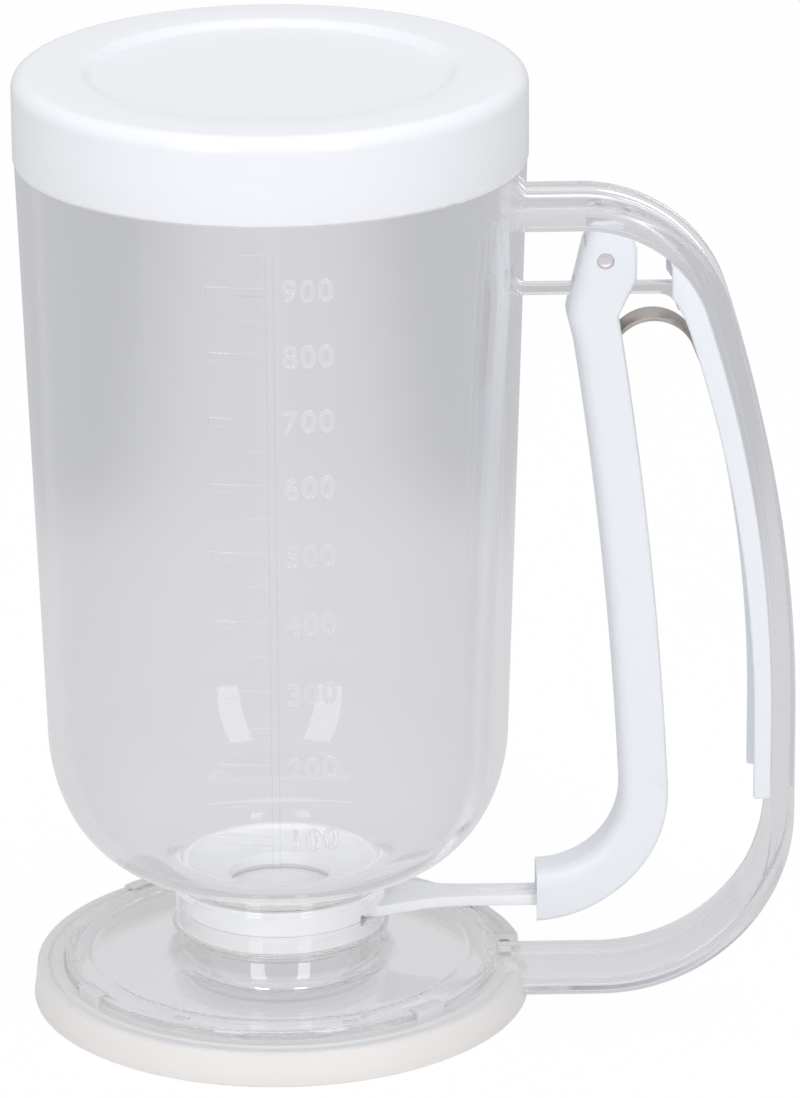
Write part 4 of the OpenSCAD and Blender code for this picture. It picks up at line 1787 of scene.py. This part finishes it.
@dataclass
class Studio:
    """Pale floor, soft light and the camera."""

    camera_place: Sequence[float] = (0.0, -1266.97, 548.46)
    pitch: float = 19.641
    yaw: float = 1.138
    roll: float = -0.3725
    lens: float = 217.4
    sensor: float = 36.0
    clip: Point = (0.05, 20.0)
    floor_r: float = 2600.0
    paper: Colour = (0.8, 0.8, 0.8)
    light: Colour = (0.98, 0.99, 1.0)
    # Greys seen through clear plastic; the darker side and far greys are painted shade in the clear
    # pieces.
    grey_near: Colour = (0.735, 0.73, 0.755)
    grey_near_side: Colour = (0.665, 0.66, 0.68)
    grey_far: Colour = (0.70, 0.70, 0.73)
    grey_far_side: Colour = (0.525, 0.53, 0.555)
    far_r: float = 0.33
    far_blur: float = 0.05
    aisle: float = 0.045
    # Painted light: the floor glows under the foot and where light came through clear plastic.
    under_r: float = 0.044
    under_blur: float = 0.004
    under_light: float = 0.6
    sky_light: float = 0.70
    inside_light: float = 1.0
    shadow: float = 0.08
    lamps: Sequence[Lamp] = (
        Lamp("lamp_left", -28, 24, (390, 1300), 4.5),
        Lamp("lamp_right", 27, 24, (330, 1300), 4.1),
        Lamp("lamp_top", 0, 86, (1100, 1100), 5.8))

    def add_camera(self) -> None:
        """Sets up the camera."""
        p, w, q = (math.radians(a) for a in (self.pitch, self.yaw, self.roll))
        forward = Vector((math.sin(w) * math.cos(p), math.cos(w) * math.cos(p), -math.sin(p)))
        right = Vector((math.cos(w), -math.sin(w), 0))
        up = right.cross(forward)
        rolled = right * math.cos(q) + up * math.sin(q)
        upward = up * math.cos(q) - right * math.sin(q)
        data = bpy.data.cameras.new("camera")
        data.lens = self.lens
        data.sensor_width = self.sensor
        data.clip_start, data.clip_end = self.clip
        camera = bpy.data.objects.new("camera", data)
        turned = Matrix((rolled, upward, -forward)).transposed().to_4x4()
        camera.matrix_world = Matrix.Translation(Vector(self.camera_place) * MM) @ turned
        bpy.context.scene.collection.objects.link(camera)
        bpy.context.scene.camera = camera

    @staticmethod
    def rays(paint: Paint) -> tuple[Wire, Wire, Wire]:
        """Sorts the rays that reach the floor or the sky.

        Args:
            paint: The node tree that asks.

        Returns:
            1 for rays from the eye, for rays that came by gloss or through clear plastic, and for
            light that falls on a dull piece through clear plastic.
        """
        dull = paint.ray("Diffuse Depth").least(1.0)
        through = paint.ray("Is Transmission Ray")
        seen = through.most(paint.ray("Is Glossy Ray")) * (1 - dull)
        return paint.ray("Is Camera Ray"), seen, through * dull

    def add_floor(self) -> None:
        """Lays the floor: white to the eye, pale grey with painted shade through clear plastic,
        softly shadowed.
        """
        Bench.rest()
        bpy.ops.mesh.primitive_circle_add(vertices=96, radius=self.floor_r * MM, fill_type="NGON",
                                          location=MIDDLE)
        floor = bpy.context.active_object
        floor.name = "floor"
        made, paint = material("floor_paper")
        here = paint.node("ShaderNodeTexCoord", out="Object")
        radius = paint.length(here)
        eye, seen, inside = self.rays(paint)
        paper, pale = (paint.node("ShaderNodeBsdfDiffuse", None, c) for c in (self.paper, WHITE))
        # Painted shade: through clear plastic the floor is darker to the sides and far off.
        side = paint.axis("X", here).size().above(self.aisle, self.aisle * 0.7)
        tint = paint.blend(radius.above(self.far_r, self.far_blur),
                           paint.blend(side, self.grey_near, self.grey_near_side),
                           paint.blend(side, self.grey_far, self.grey_far_side))
        # Painted light: the floor glows white under the foot and for light through clear plastic
        # onto a dull piece.
        under = (1 - radius.above(self.under_r, self.under_blur)) * self.under_light
        lit = paint.mix(inside.most(under), paper, paint.glow(WHITE, self.inside_light))
        clear = paint.mix(seen, lit, paint.mix(self.shadow, paint.glow(tint), pale))
        last = paint.mix(eye, clear, paint.mix(self.shadow, paint.glow(WHITE), pale))
        paint.node("ShaderNodeOutputMaterial", None, last)
        floor.data.materials.append(made)

    def add_sky(self) -> None:
        """Soft even light all round, and a white background."""
        world = bpy.data.worlds.new("studio")
        bpy.context.scene.world = world
        world.use_nodes = True
        paint = Paint(world.node_tree)
        eye, seen, inside = self.rays(paint)
        height = paint.axis("Z", paint.node("ShaderNodeTexCoord", out="Generated"))
        light, pale, white = (
            paint.node("ShaderNodeBackground", None, colour, strength) for colour, strength in (
                (self.light, self.sky_light + (self.inside_light - self.sky_light) * inside),
                (self.grey_near_side, 0.95 + height.above(0.5, 0.45) * 0.5),
                (WHITE, 1.0)))
        paint.node("ShaderNodeOutputWorld", None,
                   paint.mix(eye, paint.mix(seen, light, pale), white))

    def build(self) -> None:
        """Sets up the whole studio."""
        self.add_camera()
        self.add_floor()
        self.add_sky()
        for lamp in self.lamps:
            lamp.hang()
        bpy.context.scene.view_settings.view_transform = "Standard"


def paint_hidden(nodes: Iterable[tuple[str, bpy.types.Material]]) -> None:
    """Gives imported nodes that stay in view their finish.

    Args:
        nodes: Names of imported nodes, each with its finish.
    """
    for name, finish in nodes:
        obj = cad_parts[name]
        obj.data.materials.clear()
        obj.data.materials.append(finish)
        log.info("%s: packed node with %s", name, finish.name)


def main() -> None:
    """Builds the pieces in order, dresses them and sets up the studio."""
    logging.basicConfig(level=logging.INFO, format="%(message)s")
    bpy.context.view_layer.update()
    white = WhitePlastic("white_gloss").make()
    lever_white = WhitePlastic("white_lever", (0.81, 0.835, 0.875), 0.3).make()
    # Painted light: a brighter white than the other pieces, so the seat and gate look lit in the
    # shade under the bowl and lever.
    valve_white = WhitePlastic("white_valve_brightened", (0.90, 0.905, 0.925), 0.3).make()
    cup_clear = ClearPlastic("clear_cup", caught=(0.80, 0.80, 0.81),
                             line=(-1.35, 0.1, 44, 174.4)).make()
    handle_clear = ClearPlastic("clear_handle", (0.96, 0.96, 0.967), haze=0.12,
                                caught=(0.66, 0.66, 0.675)).make()
    foot_clear = ClearPlastic("clear_foot", (0.925, 0.925, 0.93), wave=0.012, haze=0.07,
                              deepest=3.5, caught=(0.60, 0.60, 0.61), coat=1.0,
                              thick=(22.5, 9.9)).make()
    milky = MilkyPlastic("milky_ring").make()
    frosted = MilkyPlastic("frosted_ring", (0.93, 0.93, 0.93), (0.95, 0.95, 0.95), 0.15, 0.25,
                           40.0).make()
    pin_steel = Steel("pin_metal", (0.94, 0.90, 0.91), (0.78, 0.74, 0.75), 0.36).make()
    spring_steel = Steel("spring_metal", (0.66, 0.60, 0.54), (0.40, 0.37, 0.34)).make()
    seal = Silicone("seal_rubber").make()

    cup = Cup()
    cup.build().fit(Body.FRAME, "cup_clear", cup_clear, "cup")
    cup.build_numbers().fit(Body.FRAME, "cup_clear", cup_clear)
    Lid().build().fit(Body.LID, "lid_white", white, "lid")
    foot = Foot()
    foot.build_plate().fit(Body.FRAME, "foot_clear", foot_clear, "foot_plate")
    foot.build_ring().fit(Body.FRAME, "foot_milky", milky, "foot_ring")
    handle = Handle()
    handle.build(cup, foot).fit(Body.FRAME, "handle_clear", handle_clear, "handle")
    handle.build_liner().fit(Body.FRAME, "liner_white", lever_white, "grip_liner")
    lever = Lever()
    lever.build().fit(Body.LEVER, "lever_white", lever_white, "lever")
    lever.build_pin().fit(Body.LEVER, "pin_steel", pin_steel, "pivot_pin")
    spring = LeafSpring()
    strip = spring.build().fit(Body.FRAME, "spring_steel", spring_steel, "leaf_spring")
    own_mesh(strip)
    valve = Valve()
    valve.build_seat().fit(Body.FRAME, "valve_white", valve_white, "valve_seat")
    valve.build_ring().fit(Body.FRAME, "ring_clear", frosted, "retaining_ring")
    valve.build_gate().fit(Body.GATE, "gate_white", valve_white, "gate")
    paint_hidden([("seat_seal", seal), ("gate_seal", seal), ("link_pin", pin_steel)])
    Studio().build()


if __name__ == "__main__":
    main()
